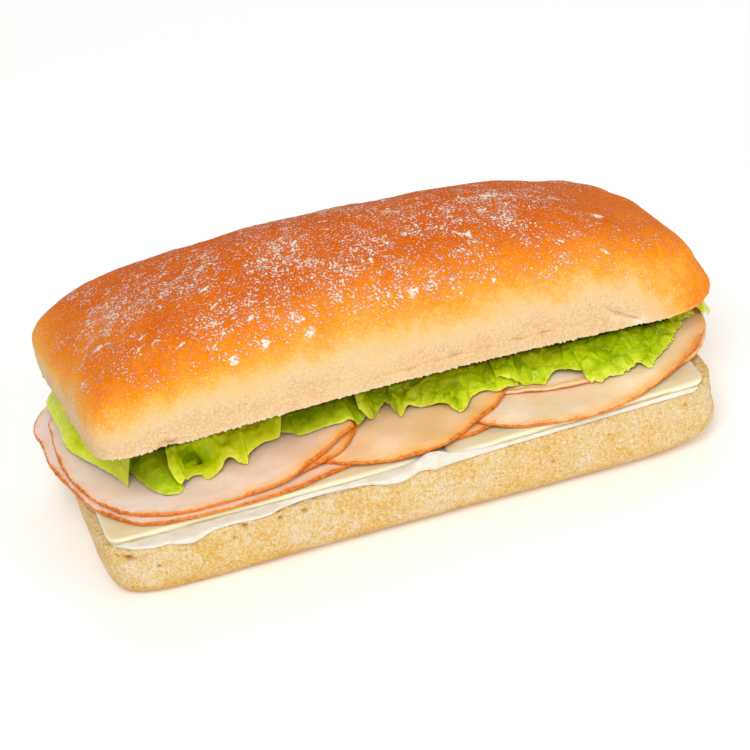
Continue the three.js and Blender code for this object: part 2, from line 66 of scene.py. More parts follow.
class Grain:
    """Smooth random relief in space: gradient noise, the same on every run."""

    def __init__(self, seed: int) -> None:
        """Draws the order and the slopes of the lattice points.

        Args:
            seed: Number that picks the pattern.
        """
        draw = np.random.default_rng(seed)
        self.order = draw.permutation(256)
        slopes = draw.normal(size=(256, 3))
        self.slopes = slopes / np.linalg.norm(slopes, axis=1, keepdims=True)

    def at(self, points: Array, size: float) -> Array:
        """Noise of one size of lump.

        Each point blends, by a quintic, the slopes of the 8 lattice points round it.

        Args:
            points: Places in millimetres, with 3 in the last direction.
            size: Distance between lattice points in millimetres.

        Returns:
            Values between about -1 and 1, one for each place.
        """
        place = points / size
        cell = np.floor(place).astype(int)
        inside = place - cell
        fade = inside**3 * (inside * (6 * inside - 15) + 10)
        total = np.zeros(points.shape[:-1])
        for corner in np.ndindex(2, 2, 2):
            key = cell + corner
            number = self.order[key[..., 2] & 255]
            number = self.order[(key[..., 1] + number) & 255]
            number = self.order[(key[..., 0] + number) & 255]
            weight = np.prod(np.where(np.array(corner) == 1, fade, 1 - fade), axis=-1)
            total += weight * (self.slopes[number] * (inside - corner)).sum(axis=-1)
        return 1.6 * total

    def layered(self, points: Array, size: float, layers: int = 3, fall: float = 0.5) -> Array:
        """Noise in layers, each of half the lump size and a share of the height of the last.

        Args:
            points: Places in millimetres.
            size: Lump size of the first layer.
            layers: How many layers.
            fall: Height of a layer as a share of the one before.

        Returns:
            Values between about -1.5 and 1.5.
        """
        apart = 31.7
        return sum(fall**k * self.at(points + apart * k, size / 2**k) for k in range(layers))


def unevenness(x: Array, y: Array, wavelength: float, phase: float) -> Array:
    """Gentle unevenness: two crossed pairs of sine waves.

    Args:
        x: Places in one direction.
        y: Places in the other.
        wavelength: Length of the longer waves.
        phase: Where they start, in radians.

    Returns:
        Values between about -1 and 1.
    """
    k = TURN / wavelength
    wide = np.sin(k * x + phase) * np.cos(0.83 * k * y + 1.7 * phase)
    return (wide + 0.5 * np.sin(1.9 * k * x - 1.3 * k * y + 2.3 * phase)) / 1.5


def bell(distance: Array, spread: float) -> Array:
    """A bell of height 1 at distance 0 and about 0.37 at the given spread."""
    return np.exp(-((distance / spread) ** 2))


def spot(x: Array, height: Array, place: tuple[float, float, float, float]) -> Array:
    """A round mark: the product of a bell along X and one over the height.

    Args:
        x: Places along X.
        height: Heights.
        place: The mark's X, half width, height and half height.

    Returns:
        1 in its middle, about 0 outside.
    """
    at_x, wide, level, high = place
    return bell(x - at_x, wide) * bell(height - level, high)


def ease(value: Array, low: float, high: float) -> Array:
    """A smooth step from 0 at low to 1 at high."""
    share = np.clip((value - low) / (high - low), 0, 1)
    return share**2 * (3 - 2 * share)


def squarish(a: Array, b: Array, power: Array, angle: Array) -> tuple[Array, Array]:
    """Points of a squarish oval: |x/a|^power + |y/b|^power = 1, met by a ray at the angle.

    Args:
        a: Half size along X.
        b: Half size along Y.
        power: 2 gives an ellipse, 10 nearly a rectangle.
        angle: Angle of the ray in the unit square.

    Returns:
        X and Y of the points.
    """
    c, s = np.cos(angle), np.sin(angle)
    reach = (np.abs(c) ** power + np.abs(s) ** power) ** (-1 / power)
    return a * c * reach, b * s * reach


def spaced_angles(a: float, b: float, power: float, count: int, front: float = 2.5) -> Array:
    """Angles of points spaced along a squarish oval, closer together where it faces the front.

    The walked length, times front where Y is negative, is cut into equal steps.

    Args:
        a: Half size along X.
        b: Half size along Y.
        power: The oval's squareness.
        count: How many points.
        front: How much closer they lie at the front.

    Returns:
        The angles, counter-clockwise.
    """
    fine = np.linspace(0, TURN, 4001)
    x, y = squarish(a, b, power, fine)
    step = np.hypot(np.diff(x), np.diff(y)) * np.where(y[:-1] < -0.4 * b, front, 1)
    walked = np.concatenate([[0], np.cumsum(step)])
    return np.interp(np.arange(count) / count * walked[-1], walked, fine)


def smooth_line(points: Array, share: Array) -> Array:
    """A smooth line through points: a uniform Catmull-Rom spline read by a share of its spans.

    Args:
        points: The points, one a row.
        share: 0 at the first point, 1 at the last.

    Returns:
        Places on the line, with the point's coordinates in the last direction.
    """
    points = np.asarray(points, float)
    spans = len(points) - 1
    at = np.clip(share, 0, 1) * spans
    span = np.minimum(at.astype(int), spans - 1)
    t = (at - span)[..., None]
    before, start, end, after = (points[np.clip(span + k, 0, spans)] for k in (-1, 0, 1, 2))
    leave, arrive = (end - before) / 2, (after - start) / 2
    return (
        (2 * start - 2 * end + leave + arrive) * t**3
        + (3 * end - 3 * start - 2 * leave - arrive) * t**2
        + leave * t
        + start
    )


def profile_of(*parts: tuple) -> list[Array]:
    """Joins the parts of a profile end to end; a number counts for its whole part.

    Args:
        parts: Each part's values, as arrays or numbers.

    Returns:
        Each kind of value with one a row.
    """
    full = (np.broadcast_arrays(*part) for part in parts)
    return [np.concatenate(values)[:, None] for values in zip(*full)]


def slab_profile(flat: int, rim: int) -> list[Array]:
    """Profile of a slab from its underside's middle, round its rim, to its top's middle.

    The rim is half a circle; the flat sides' rows lie closer together towards it.

    Args:
        flat: Rows on each flat side.
        rim: Rows round the rim.

    Returns:
        The share of the outline, the inset in radii of the rim and the share of the height.
    """
    face = 1 - np.geomspace(0.95, 0.006, flat)
    arc = np.linspace(-np.pi / 2, np.pi / 2, rim)
    round_rim = 1, 1 - np.cos(arc), 0.5 + 0.5 * np.sin(arc)
    return profile_of((face, 1, 0), round_rim, (face[::-1], 1, 1))


def normals_of(grid: Array, wraps: bool) -> Array:
    """Unit normals of a grid of points: the cross product of its two directions.

    Args:
        grid: Points by row and column; rows run up, columns counter-clockwise.
        wraps: Whether the last column is followed by the first.

    Returns:
        A normal for each point, outward.
    """
    if wraps:
        across = np.roll(grid, -1, axis=1) - np.roll(grid, 1, axis=1)
    else:
        across = np.gradient(grid, axis=1)
    normal = np.cross(across, np.gradient(grid, axis=0))
    return normal / np.maximum(np.linalg.norm(normal, axis=-1, keepdims=True), 1e-9)


def ring_shell(rings: Array) -> tuple[Array, Faces]:
    """A closed shell from rings of equal count, closed by a fan at each end.

    Args:
        rings: Points by ring and place round it, from the underside's middle to the top's.

    Returns:
        The points and the faces: quads between rings, and triangles at the two poles.
    """
    count, around = rings.shape[:2]
    poles = np.stack([rings[0].mean(axis=0), rings[-1].mean(axis=0)])
    points = np.concatenate([rings.reshape(-1, 3), poles])
    i = np.arange(around)
    following = (i + 1) % around
    base = np.arange(count - 1)[:, None] * around
    quads = np.stack([base + i, base + following, base + following + around, base + i + around], -1)
    bottom, top = len(points) - 2, len(points) - 1
    last = (count - 1) * around
    fans = [
        np.stack([np.full(around, bottom), following, i], -1),
        np.stack([np.full(around, top), last + i, last + following], -1),
    ]
    return points, [quads.reshape(-1, 4), np.concatenate(fans)]


def sheet_shell(lower: Array, upper: Array) -> tuple[Array, Faces]:
    """A closed thin shell between two grids of points of the same size.

    Args:
        lower: Underside, by row and column.
        upper: Top side, straight over it.

    Returns:
        The points and the quads of both sides and of the rim, which face outward.
    """
    rows, columns = lower.shape[:2]
    number = np.arange(rows * columns).reshape(rows, columns)
    quads = np.stack([number[:-1, :-1], number[:-1, 1:], number[1:, 1:], number[1:, :-1]], -1)
    quads = quads.reshape(-1, 4)
    rim = np.concatenate([number[0, :-1], number[:-1, -1], number[-1, :0:-1], number[:0:-1, 0]])
    loop = lower.reshape(-1, 3)[rim]
    onward = np.roll(loop, -1, axis=0)
    if (loop[:, 0] * onward[:, 1] - onward[:, 0] * loop[:, 1]).sum() < 0:
        quads, rim = quads[:, ::-1], rim[::-1]
    shift = rows * columns
    following = np.roll(rim, -1)
    wall = np.stack([rim, following, following + shift, rim + shift], -1)
    points = np.concatenate([lower.reshape(-1, 3), upper.reshape(-1, 3)])
    return points, [quads[:, ::-1], quads + shift, wall]


class Slot(Enum):
    """Material slots that the finishes belong to."""

    PALE_CRUST = "pale_crust"
    GOLDEN_CRUST = "golden_crust"
    MAYONNAISE = "mayonnaise"
    CHEESE = "cheese"
    TURKEY = "turkey"
    LETTUCE = "lettuce"


def put(name: str, data: bpy.types.ID) -> bpy.types.Object:
    """Makes an object and links it to the scene.

    Args:
        name: Its name.
        data: Its mesh, light or camera.

    Returns:
        The object.
    """
    made = bpy.data.objects.new(name, data)
    bpy.context.scene.collection.objects.link(made)
    return made


def make_piece(
    name: str,
    shell: tuple[Array, Faces],
    finish: "Finish",
    node: str,
    marks: dict[str, Array] | None = None,
    levels: int = 0,
) -> None:
    """Puts a shell into a mesh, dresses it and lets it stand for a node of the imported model.

    Args:
        name: Name of the piece.
        shell: Points in millimetres and faces.
        finish: The material and the slot that it belongs to.
        node: Node that the piece replaces.
        marks: Values for each point that the material reads, by name.
        levels: Subdivision levels of a surface that is rounded off afterwards.
    """
    points, faces = shell
    mesh = bpy.data.meshes.new(name)
    mesh.vertices.add(len(points))
    mesh.vertices.foreach_set("co", (points * MM).astype(np.float32).ravel())
    corners = np.concatenate([part.ravel() for part in faces])
    sizes = np.concatenate([np.full(len(part), part.shape[1]) for part in faces])
    mesh.loops.add(len(corners))
    mesh.loops.foreach_set("vertex_index", corners.astype(np.int32))
    mesh.polygons.add(len(sizes))
    mesh.polygons.foreach_set("loop_start", (np.cumsum(sizes) - sizes).astype(np.int32))
    mesh.polygons.foreach_set("use_smooth", np.ones(len(sizes), bool))
    mesh.update(calc_edges=True)
    mesh.validate()
    for mark, values in (marks or {}).items():
        layer = mesh.attributes.new(mark, "FLOAT", "POINT")
        layer.data.foreach_set("value", values.astype(np.float32).ravel())
    piece = put(name, mesh)
    if levels:
        rounding = piece.modifiers.new("rounding", "SUBSURF")
        rounding.levels = rounding.render_levels = levels
    mesh.materials.append(finish.material())
    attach(piece, "root")
    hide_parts(node)
    log.info("%s: %d points, stands for %s", name, len(points), node)


# Finishes


def linear(colour: str) -> tuple[float, float, float, float]:
    """An sRGB hex colour, such as f3e0b4, as linear red, green, blue and 1."""
    shares = [int(colour[k : k + 2], 16) / 255 for k in (0, 2, 4)]
    return *(s / 12.92 if s <= 0.04045 else ((s + 0.055) / 1.055) ** 2.4 for s in shares), 1.0


def lumps(size: float) -> float:
    """Scale of a texture whose lumps measure so many millimetres."""
    return 1 / (size * MM)


def add_node(
    tree: bpy.types.NodeTree,
    kind: str,
    inputs: Sequence | dict = (),
    out: int | str = 0,
    stops: Sequence = (),
    **settings: object,
) -> bpy.types.NodeSocket:
    """Adds a node with its settings and links.

    Args:
        tree: The material's nodes.
        kind: Type of the node, without the ShaderNode before it.
        inputs: Numbers, hex colours or source sockets, in order or by name or number.
        out: Which of its outputs is wanted.
        stops: Places and hex colours of a colour ramp.
        **settings: Properties of the node.

    Returns:
        The socket of that output.
    """
    node = tree.nodes.new("ShaderNode" + kind)
    for i, (place, colour) in enumerate(stops):
        stop = node.color_ramp.elements[i] if i < 2 else node.color_ramp.elements.new(place)
        stop.position, stop.color = place, linear(colour)
    for key, value in settings.items():
        setattr(node, key, value)
    for key, value in inputs.items() if isinstance(inputs, dict) else enumerate(inputs):
        if isinstance(value, bpy.types.NodeSocket):
            tree.links.new(value, node.inputs[key])
        else:
            node.inputs[key].default_value = linear(value) if isinstance(value, str) else value
    return node.outputs[out]


@dataclass(frozen=True)
class Finish:
    """A material and the slot that it belongs to."""

    name: str
    slot: Slot

    def material(self) -> bpy.types.Material:
        """Makes the finish's material on first use.

        Returns:
            The material.
        """
        known = bpy.data.materials.get(self.name)
        if known:
            return known
        material = bpy.data.materials.new(self.name)
        material.use_nodes = True
        tree = material.node_tree
        tree.nodes.clear()
        add = partial(add_node, tree)
        surface = add("BsdfPrincipled", self.paint(add))
        tree.links.new(surface, tree.nodes.new("ShaderNodeOutputMaterial").inputs["Surface"])
        return material

    def paint(self, add: AddNode) -> dict[str, object]:
        """Adds the finish's nodes; each finish has its own.

        Args:
            add: Adds a node to the material.

        Returns:
            Values and sockets for the surface shader's inputs.
        """
        raise NotImplementedError


@dataclass(frozen=True)
class GoldenCrust(Finish):
    """Wheat crust baked under a dusting of flour: brown on top, pale where the sides touched."""

    name: str = "wheat_crust_baked_floured"
    slot: Slot = Slot.GOLDEN_CRUST

    def paint(self, add: AddNode) -> dict[str, object]:
        """Browning follows the mark bake; flour lies in clouds of grains where the mark flour is high.

        Args:
            add: Adds a node to the material.

        Returns:
            Values and sockets for the surface shader's inputs.
        """
        where = add("TexCoord", out="Object")
        toasted, dusted, torn = (
            add("Attribute", attribute_name=mark, out="Fac") for mark in ("bake", "flour", "torn")
        )
        # Flour grains of 0.1 mm are drawn at 0.75 mm and a little finer, the finest that shows.
        cloud, clot, grit = (
            add("TexNoise", {"Vector": where, "Scale": lumps(size), "Detail": detail, "Roughness": rough})
            for size, detail, rough in ((15, 2.0, 0.5), (4, 3.0, 0.6), (0.75, 3.0, 0.75))
        )
        noises = add("CombineXYZ", (cloud, clot, grit))
        mottle, spread = (
            add("VectorMath", (noises, weights), out="Value", operation="DOT_PRODUCT")
            for weights in ((0.2, 0.2, 0.45), (0.25, 0.7, 2.2))
        )
        bake = add("Math", (toasted, 0.6, mottle), operation="MULTIPLY_ADD")
        fleck = add("MapRange", (grit, 0.36, 0.64, -0.12, 0.12))
        browned = add("Math", (fleck, toasted, bake), operation="MULTIPLY_ADD")
        colour = add(
            "ValToRGB", (browned,), stops=(
                (0.36, "dcb482"), (0.47, "e9c694"), (0.55, "f3c07a"), (0.63, "f8b03c"),
                (0.71, "f99a0c"), (0.8, "f48400"), (0.9, "e66e00"), (1.0, "cc5600"),
            ),
        )
        # Single grains, most on the bare sides, and the small toasted specks between them.
        bare = add("MapRange", (toasted, 0.4, 0.9, 1.0, 0.5))
        grains = add("Math", (add("MapRange", (grit, 0.52, 0.74, 0.0, 0.5)), bare), operation="MULTIPLY")
        specks = add("MapRange", (grit, 0.35, 0.29, 0.0, 0.5))
        dust = add("Math", (dusted, 0.3, spread), operation="MULTIPLY_ADD")
        powder = add("MapRange", (dust, 1.965, 2.09, 0.0, 0.97))
        for share, over in ((grains, "fff0d8"), (specks, "e89a44"), (powder, "f8ecde"), (torn, "f6e6cc")):
            colour = add("Mix", {SHARE: share, UNDER: colour, OVER: over}, out=MIXED, data_type="RGBA")
        relief = add(
            "VectorMath", (add("CombineXYZ", (grit, clot, powder)), (0.4, 0.3, 0.25)),
            out="Value", operation="DOT_PRODUCT",
        )
        return {
            "Base Color": colour,
            "Roughness": add("MapRange", (powder, 0.0, 0.8, 0.6, 0.9)),
            "IOR": 1.45,
            "Specular IOR Level": 0.02,
            "Normal": add("Bump", {"Height": relief, "Distance": 0.45 * MM}),
        }


@dataclass(frozen=True)
class PaleCrust(Finish):
    """Wheat crust baked on a floured sheet: pale, matt and finely pitted like the crumb under it."""

    name: str = "wheat_crust_pale_pitted"
    slot: Slot = Slot.PALE_CRUST

    def paint(self, add: AddNode) -> dict[str, object]:
        """Mottled beige with fine pores; the mark bake browns it and the mark pit darkens it: painted
        shade in the pits and the fold line.

        Args:
            add: Adds a node to the material.

        Returns:
            Values and sockets for the surface shader's inputs.
        """
        where = add("TexCoord", out="Object")
        bake, pit_shade = (add("Attribute", attribute_name=mark, out="Fac") for mark in ("bake", "pit_shade"))
        upright = add("Mapping", {"Vector": where, "Scale": (1.0, 1.0, 0.3)})
        # Pores of about 0.3 mm are drawn at 0.7 mm, the finest that shows.
        cloud, clot, grit, fibre = (
            add("TexNoise", {"Vector": place, "Scale": lumps(size), "Detail": detail, "Roughness": rough})
            for place, size, detail, rough in (
                (where, 12, 2.0, 0.5), (where, 1.5, 4.0, 0.7), (where, 0.7, 3.0, 0.7),
                (upright, 1.3, 3.0, 0.6),
            )
        )
        mottle, relief = (
            add("VectorMath", (add("CombineXYZ", parts), weights), out="Value", operation="DOT_PRODUCT")
            for parts, weights in (
                ((cloud, clot, grit), (0.3, 0.45, 0.85)), ((grit, clot, fibre), (0.9, 0.8, 0.35)),
            )
        )
        colour = add(
            "ValToRGB", (add("Math", (bake, -0.1, mottle), operation="MULTIPLY_ADD"),), stops=(
                (0.6, "e0a236"), (0.7, "eaba62"), (0.79, "efcb86"), (0.89, "f1dab0"), (1.0, "f6e8d4"),
            ),
        )
        strands = add("MapRange", (fibre, 0.54, 0.72, 0.0, 0.4))
        pores = add("MapRange", (grit, 0.36, 0.26, 0.0, 0.5))
        for share, over in ((strands, "fcf3e6"), (pores, "d09638"), (pit_shade, "b87414")):
            colour = add("Mix", {SHARE: share, UNDER: colour, OVER: over}, out=MIXED, data_type="RGBA")
        return {
            "Base Color": colour,
            "Roughness": 0.85,
            "IOR": 1.45,
            "Specular IOR Level": 0.1,
            "Normal": add("Bump", {"Height": relief, "Distance": 0.7 * MM}),
        }


@dataclass(frozen=True)
class Mayonnaise(Finish):
    """Egg and oil emulsion: white with a trace of yellow, wet and glossy."""

    name: str = "mayonnaise_whipped"
    slot: Slot = Slot.MAYONNAISE

    def paint(self, add: AddNode) -> dict[str, object]:
        """Nearly even white that lets light in a little, with a soft wet relief.

        Args:
            add: Adds a node to the material.

        Returns:
            Values and sockets for the surface shader's inputs.
        """
        where = add("TexCoord", out="Object")
        tone, relief = (
            add("TexNoise", {"Vector": where, "Scale": lumps(size), "Detail": 2.0}) for size in (5, 2.2)
        )
        return {
            "Base Color": add("ValToRGB", (tone,), stops=((0.35, "ece8dd"), (0.7, "e2dac6"))),
            "Roughness": 0.12,
            "IOR": 1.46,
            "Subsurface Weight": 0.35,
            "Subsurface Radius": (1.0, 0.85, 0.6),
            "Subsurface Scale": 1.5 * MM,
            "Normal": add("Bump", {"Height": relief, "Distance": 0.5 * MM}),
        }


@dataclass(frozen=True)
class SlicedCheese(Finish):
    """Mild pressed cheese cut in slices: pale yellow, waxy, a little see-through at its edges."""

    name: str = "cheese_sliced_mild"
    slot: Slot = Slot.CHEESE

    def paint(self, add: AddNode) -> dict[str, object]:
        """Even yellow face; the mark rim pales the cut edges, the mark stain paints an amber line of
        shade along the crease over the mayonnaise.

        Args:
            add: Adds a node to the material.

        Returns:
            Values and sockets for the surface shader's inputs.
        """
        where = add("TexCoord", out="Object")
        tone = add("TexNoise", {"Vector": where, "Scale": lumps(9), "Detail": 3.0})
        relief = add("TexNoise", {"Vector": where, "Scale": lumps(3), "Detail": 2.0})
        rim, seam_shade = (add("Attribute", attribute_name=mark, out="Fac") for mark in ("rim", "seam_shade"))
        colour = add("ValToRGB", (tone,), stops=((0.3, "ebdfbe"), (0.7, "e7d6a2")))
        for share, over in ((rim, "f7f0d4"), (seam_shade, "d09c2c")):
            colour = add("Mix", {SHARE: share, UNDER: colour, OVER: over}, out=MIXED, data_type="RGBA")
        return {
            "Base Color": colour,
            "Roughness": 0.34,
            "IOR": 1.47,
            "Subsurface Weight": 0.35,
            "Subsurface Radius": (1.0, 0.85, 0.4),
            "Subsurface Scale": 2.5 * MM,
            "Normal": add("Bump", {"Height": relief, "Distance": 0.12 * MM}),
        }


@dataclass(frozen=True)
class TurkeyMeat(Finish):
    """Cooked and smoked turkey breast, sliced: moist pale flesh with a browned skin at its rim."""

    name: str = "turkey_breast_sliced"
    slot: Slot = Slot.TURKEY
    light: str = "fae0c6"
    deep: str = "f6ca92"
    warmth: float = 0.85

    def paint(self, add: AddNode) -> dict[str, object]:
        """Flesh that tans where the mark tan is high, and skin where the mark rim, mm inward, is low.

        Args:
            add: Adds a node to the material.

        Returns:
            Values and sockets for the surface shader's inputs.
        """
        where = add("TexCoord", out="Object")
        stretched = add("Mapping", {"Vector": where, "Scale": (0.35, 1.0, 1.0)})
        tan, rim = (add("Attribute", attribute_name=mark, out="Fac") for mark in ("tan", "rim"))
        cloud, fibre, speck = (
            add("TexNoise", {"Vector": place, "Scale": lumps(size), "Detail": detail, "Roughness": rough})
            for place, size, detail, rough in (
                (where, 12, 2.0, 0.5), (stretched, 2.0, 3.0, 0.6), (where, 1.2, 3.0, 0.65),
            )
        )
        # The skin's inner border wanders, and it is scorched in spots.
        tone, wander, scorch, relief = (
            add("VectorMath", (add("CombineXYZ", parts), weights), out="Value", operation="DOT_PRODUCT")
            for parts, weights in (
                ((cloud, fibre, speck), (0.7, 0.35, 0.15)), ((rim, speck, cloud), (1.0, -1.6, -2.6)),
                ((rim, speck, cloud), (0.5, -5.0, -2.5)), ((fibre, speck), (0.6, 0.6, 0.0)),
            )
        )
        tanned = add("Math", (tan, 0.4, tone), operation="MULTIPLY_ADD")
        reach = add("MapRange", (wander, 1.6, -2.2, 0.0, self.warmth))
        warming = add("Math", (tan, 0.9, 0.4), operation="MULTIPLY_ADD")
        char = add("MapRange", (scorch, -4.0, -4.9, 0.0, 0.8))
        near = add("MapRange", (rim, 0.5, -0.1, 0.0, 1.0))
        glow, charred = (
            add("Math", factors, operation="MULTIPLY") for factors in ((reach, warming), (char, near))
        )
        skin = add("MapRange", (wander, -1.7, -2.4, 0.0, 0.97))
        colour = add("ValToRGB", (tanned,), stops=((0.5, self.light), (1.0, self.deep)))
        for share, over in ((glow, "f8b660"), (skin, "ec8400"), (charred, "b05000")):
            colour = add("Mix", {SHARE: share, UNDER: colour, OVER: over}, out=MIXED, data_type="RGBA")
        return {
            "Base Color": colour,
            "Roughness": 0.36,
            "IOR": 1.42,
            "Subsurface Weight": 0.15,
            "Subsurface Radius": (1.0, 0.5, 0.3),
            "Subsurface Scale": 1.5 * MM,
            "Normal": add("Bump", {"Height": relief, "Distance": 0.2 * MM}),
        }


@dataclass(frozen=True)
class LettuceLeaf(Finish):
    """Fresh leaf lettuce: waxy yellow-green skin over sunken veins, light comes through it."""

    name: str = "lettuce_leaf_fresh"
    slot: Slot = Slot.LETTUCE
    young_and_glow: str = "d2e426"
    full: str = "a9c600"
    deep: str = "6f9000"
    # dark is the colour that the painted shade reaches.
    dark: str = "1e3600"
    # edge is the palest colour at the margin, partly the leaf's own yellow, partly painted glow.
    edge: str = "ecf270"
    blisters: float = 0.3

    def paint(self, add: AddNode) -> dict[str, object]:
        """Green that yellows towards the margin, with a painted glow there (mark young); painted shade
        under folds and under the bread's edge (mark shade), in the creases (mark vein) and between
        blisters.

        Args:
            add: Adds a node to the material.

        Returns:
            Values and sockets for the surface shader's inputs.
        """
        where = add("TexCoord", out="Object")
        young_and_glow, painted_crease_shade, shade = (
            add("Attribute", attribute_name=mark, out="Fac") for mark in ("young_and_glow", "painted_crease_shade", "shade")
        )
        cloud, clot, fine = (
            add("TexNoise", {"Vector": where, "Scale": lumps(size), "Detail": 2.0})
            for size in (9, 3, 1.2)
        )
        sway = add("CombineXYZ", (clot, fine, cloud))
        bent = add("VectorMath", (sway, (3 * MM,) * 3, where), operation="MULTIPLY_ADD")
        between = add(
            "TexVoronoi", {"Vector": bent, "Scale": lumps(5.5)}, "Distance", feature="DISTANCE_TO_EDGE",
        )
        groove = add("MapRange", (between, 0.0, 0.14, self.blisters, 0.0))
        # The lines between blisters sink in the bump, and mottle also darkens them as painted shade; tone
        # takes off the painted shade of the marks vein and shade.
        mottle, tone, relief = (
            add("VectorMath", (add("CombineXYZ", parts), weights), out="Value", operation="DOT_PRODUCT")
            for parts, weights in (
                ((cloud, clot, groove), (0.6, 0.3, -0.35)), ((young_and_glow, painted_crease_shade, shade), (0.32, -0.07, -0.55)),
                ((clot, fine, groove), (0.7, 0.25, -1.2)),
            )
        )
        shades = self.dark, self.deep, self.full, self.young_and_glow, self.edge
        green = add(
            "ValToRGB", (add("Math", (mottle, tone), operation="ADD"),),
            stops=tuple(zip((0.0, 0.22, 0.44, 0.66, 0.84), shades)),
        )
        return {
            "Base Color": green,
            "Roughness": 0.2,
            "IOR": 1.45,
            "Specular IOR Level": 0.22,
            "Subsurface Weight": 0.15,
            "Subsurface Radius": (0.9, 1.0, 0.1),
            "Subsurface Scale": 1.5 * MM,
            "Normal": add("Bump", {"Height": relief, "Distance": 0.7 * MM}),
        }


# Bread


@dataclass(frozen=True)
class Pit:
    """A small hole in the crust of the roll's front: its place and size in millimetres."""

    x: float
    z: float
    radius: float
    depth: float


@dataclass(frozen=True)
class Heel:
    """Lower half of the roll: a squarish block, round at its lower edge, with a slanting cut top.

    bulges are those of the ends: 1 for the right or -1 for the left, reach and level. fold is the
    level, half width and depth of the line at the left.
    """

    length: float = 199.0
    width: float = 88.0
    height: float = 22.0
    rise: float = 0.03
    edge: float = 9.7
    squareness: float = 10.0
    tight_corner: float = 0.4
    arris: float = 0.8
    bulges: tuple[tuple[int, float, float], ...] = ((1, 1.6, 10), (-1, 0.8, 6))
    fold: tuple[float, float, float] = (16.6, 0.7, 0.45)
    around: int = 1000
    base_rows: int = 7
    edge_rows: int = 20
    side_rows: int = 28
    arris_rows: int = 5
    face_rows: int = 24
    pits: tuple[Pit, ...] = tuple(Pit(*row) for row in (
        (-56.4, 19.0, 0.9, 1.2), (-45.3, 18.6, 0.7, 0.9), (-37.5, 18.6, 0.9, 0.8),
        (-92.5, 16.3, 1.3, 0.9), (-84.0, 12.0, 0.6, 0.5), (42.3, 12.7, 0.6, 0.4),
        (-60.0, 15.5, 0.6, 0.6), (61.0, 17.5, 0.5, 0.5), (87.3, 20.0, 0.6, 0.4),
    ))

    def top(self, x: Array) -> Array:
        """Height of the cut face, which rises along X."""
        return self.height + self.rise * x

    def profile(self) -> list[Array]:
        """Rows from the underside's middle, round the side, to the cut face's middle.

        Returns:
            For each row the share of the outline, the inset from it and the height.
        """
        turn = np.linspace(0, np.pi / 2, self.edge_rows)
        side = np.linspace(self.edge, self.height - self.arris, self.side_rows)[1:]
        lip = np.linspace(0, np.pi / 2, self.arris_rows)[1:]
        base = np.linspace(0.04, 0.97, self.base_rows)
        face = 1 - np.geomspace(0.008, 0.94, self.face_rows)
        return profile_of(
            (base, self.edge, 0),
            (1, self.edge * (1 - np.sin(turn)), self.edge * (1 - np.cos(turn))),
            (1, 0, side),
            (1, self.arris * (1 - np.cos(lip)), self.height - self.arris * (1 - np.sin(lip))),
            (face, self.arris, self.height),
        )

    def build(self) -> None:
        """Carries the profile round the outline, then adds lumps, crumb, a fold line and the pits."""
        share, inset, height = self.profile()
        angle = spaced_angles(self.length / 2, self.width / 2, self.squareness, self.around)[None]
        rim_x, rim_y = squarish(self.length / 2, self.width / 2, self.squareness, angle)
        off_corner = np.angle(np.exp(1j * (angle - 1.25 * np.pi)))
        lower = ease(height, self.edge, 0.6 * self.edge)
        inset = inset * (1 - lower * self.tight_corner * bell(off_corner, 0.3))
        above = np.clip(height / self.edge, 0, 1)
        inset = inset - 0.35 * unevenness(rim_x + height, rim_y, 34, 0.6) * above
        x, y = squarish(self.length / 2 - inset, self.width / 2 - inset, self.squareness, angle)
        for side, reach, level in self.bulges:
            x = x + reach * ease(side * x / self.length, 0.38, 0.5) * bell(height - level, 6)
        x, y = x * share, y * share
        grid = np.stack([x, y, height / self.height * self.top(x)], -1)
        grain = Grain(11)
        crumb = ease(height, self.height - 1.2, self.height)
        fibres = grid * np.array([0.8, 1.0, 1.25])
        relief = above * (0.28 * grain.layered(grid, 11, 2) + 0.2 * grain.layered(fibres, 3.2, 3, 0.7))
        relief = relief + crumb * 0.4 * grain.layered(grid + 60, 2.4, 3, 0.7)
        front = ease(-y, 0.8 * self.width / 2, 0.9 * self.width / 2)
        level, wide, depth = self.fold
        fold = front * ease(-x, 82, 90) * bell(grid[..., 2] - level - 0.5 * np.sin(x / 2), wide)
        relief = relief - depth * fold
        # Painted shade: the pits and the fold line are darkened in colour.
        pit_shade = 0.25 * fold
        for hole in self.pits:
            near = front * bell(np.hypot(x - hole.x, (grid[..., 2] - hole.z) * 1.2), hole.radius)
            relief = relief - hole.depth * near
            pit_shade = np.maximum(pit_shade, near)
        grid = grid + normals_of(grid, True) * relief[..., None]
        grid[..., 2] = np.maximum(grid[..., 2], 0)
        marks = {"bake": ease(grid[..., 2], 8, 0), "pit_shade": 0.95 * pit_shade}
        make_piece("roll_lower_half", ring_shell(grid), PaleCrust(), "bread_bottom", close_marks(marks))


def close_marks(marks: dict[str, Array]) -> dict[str, Array]:
    """Adds the two poles of a ring shell to the marks of its grid, each with its ring's mean.

    Args:
        marks: Values by ring and place round it, by name.

    Returns:
        Values of every point of the shell, by name.
    """
    return {
        name: np.concatenate([values.ravel(), [values[0].mean(), values[-1].mean()]])
        for name, values in marks.items()
    }


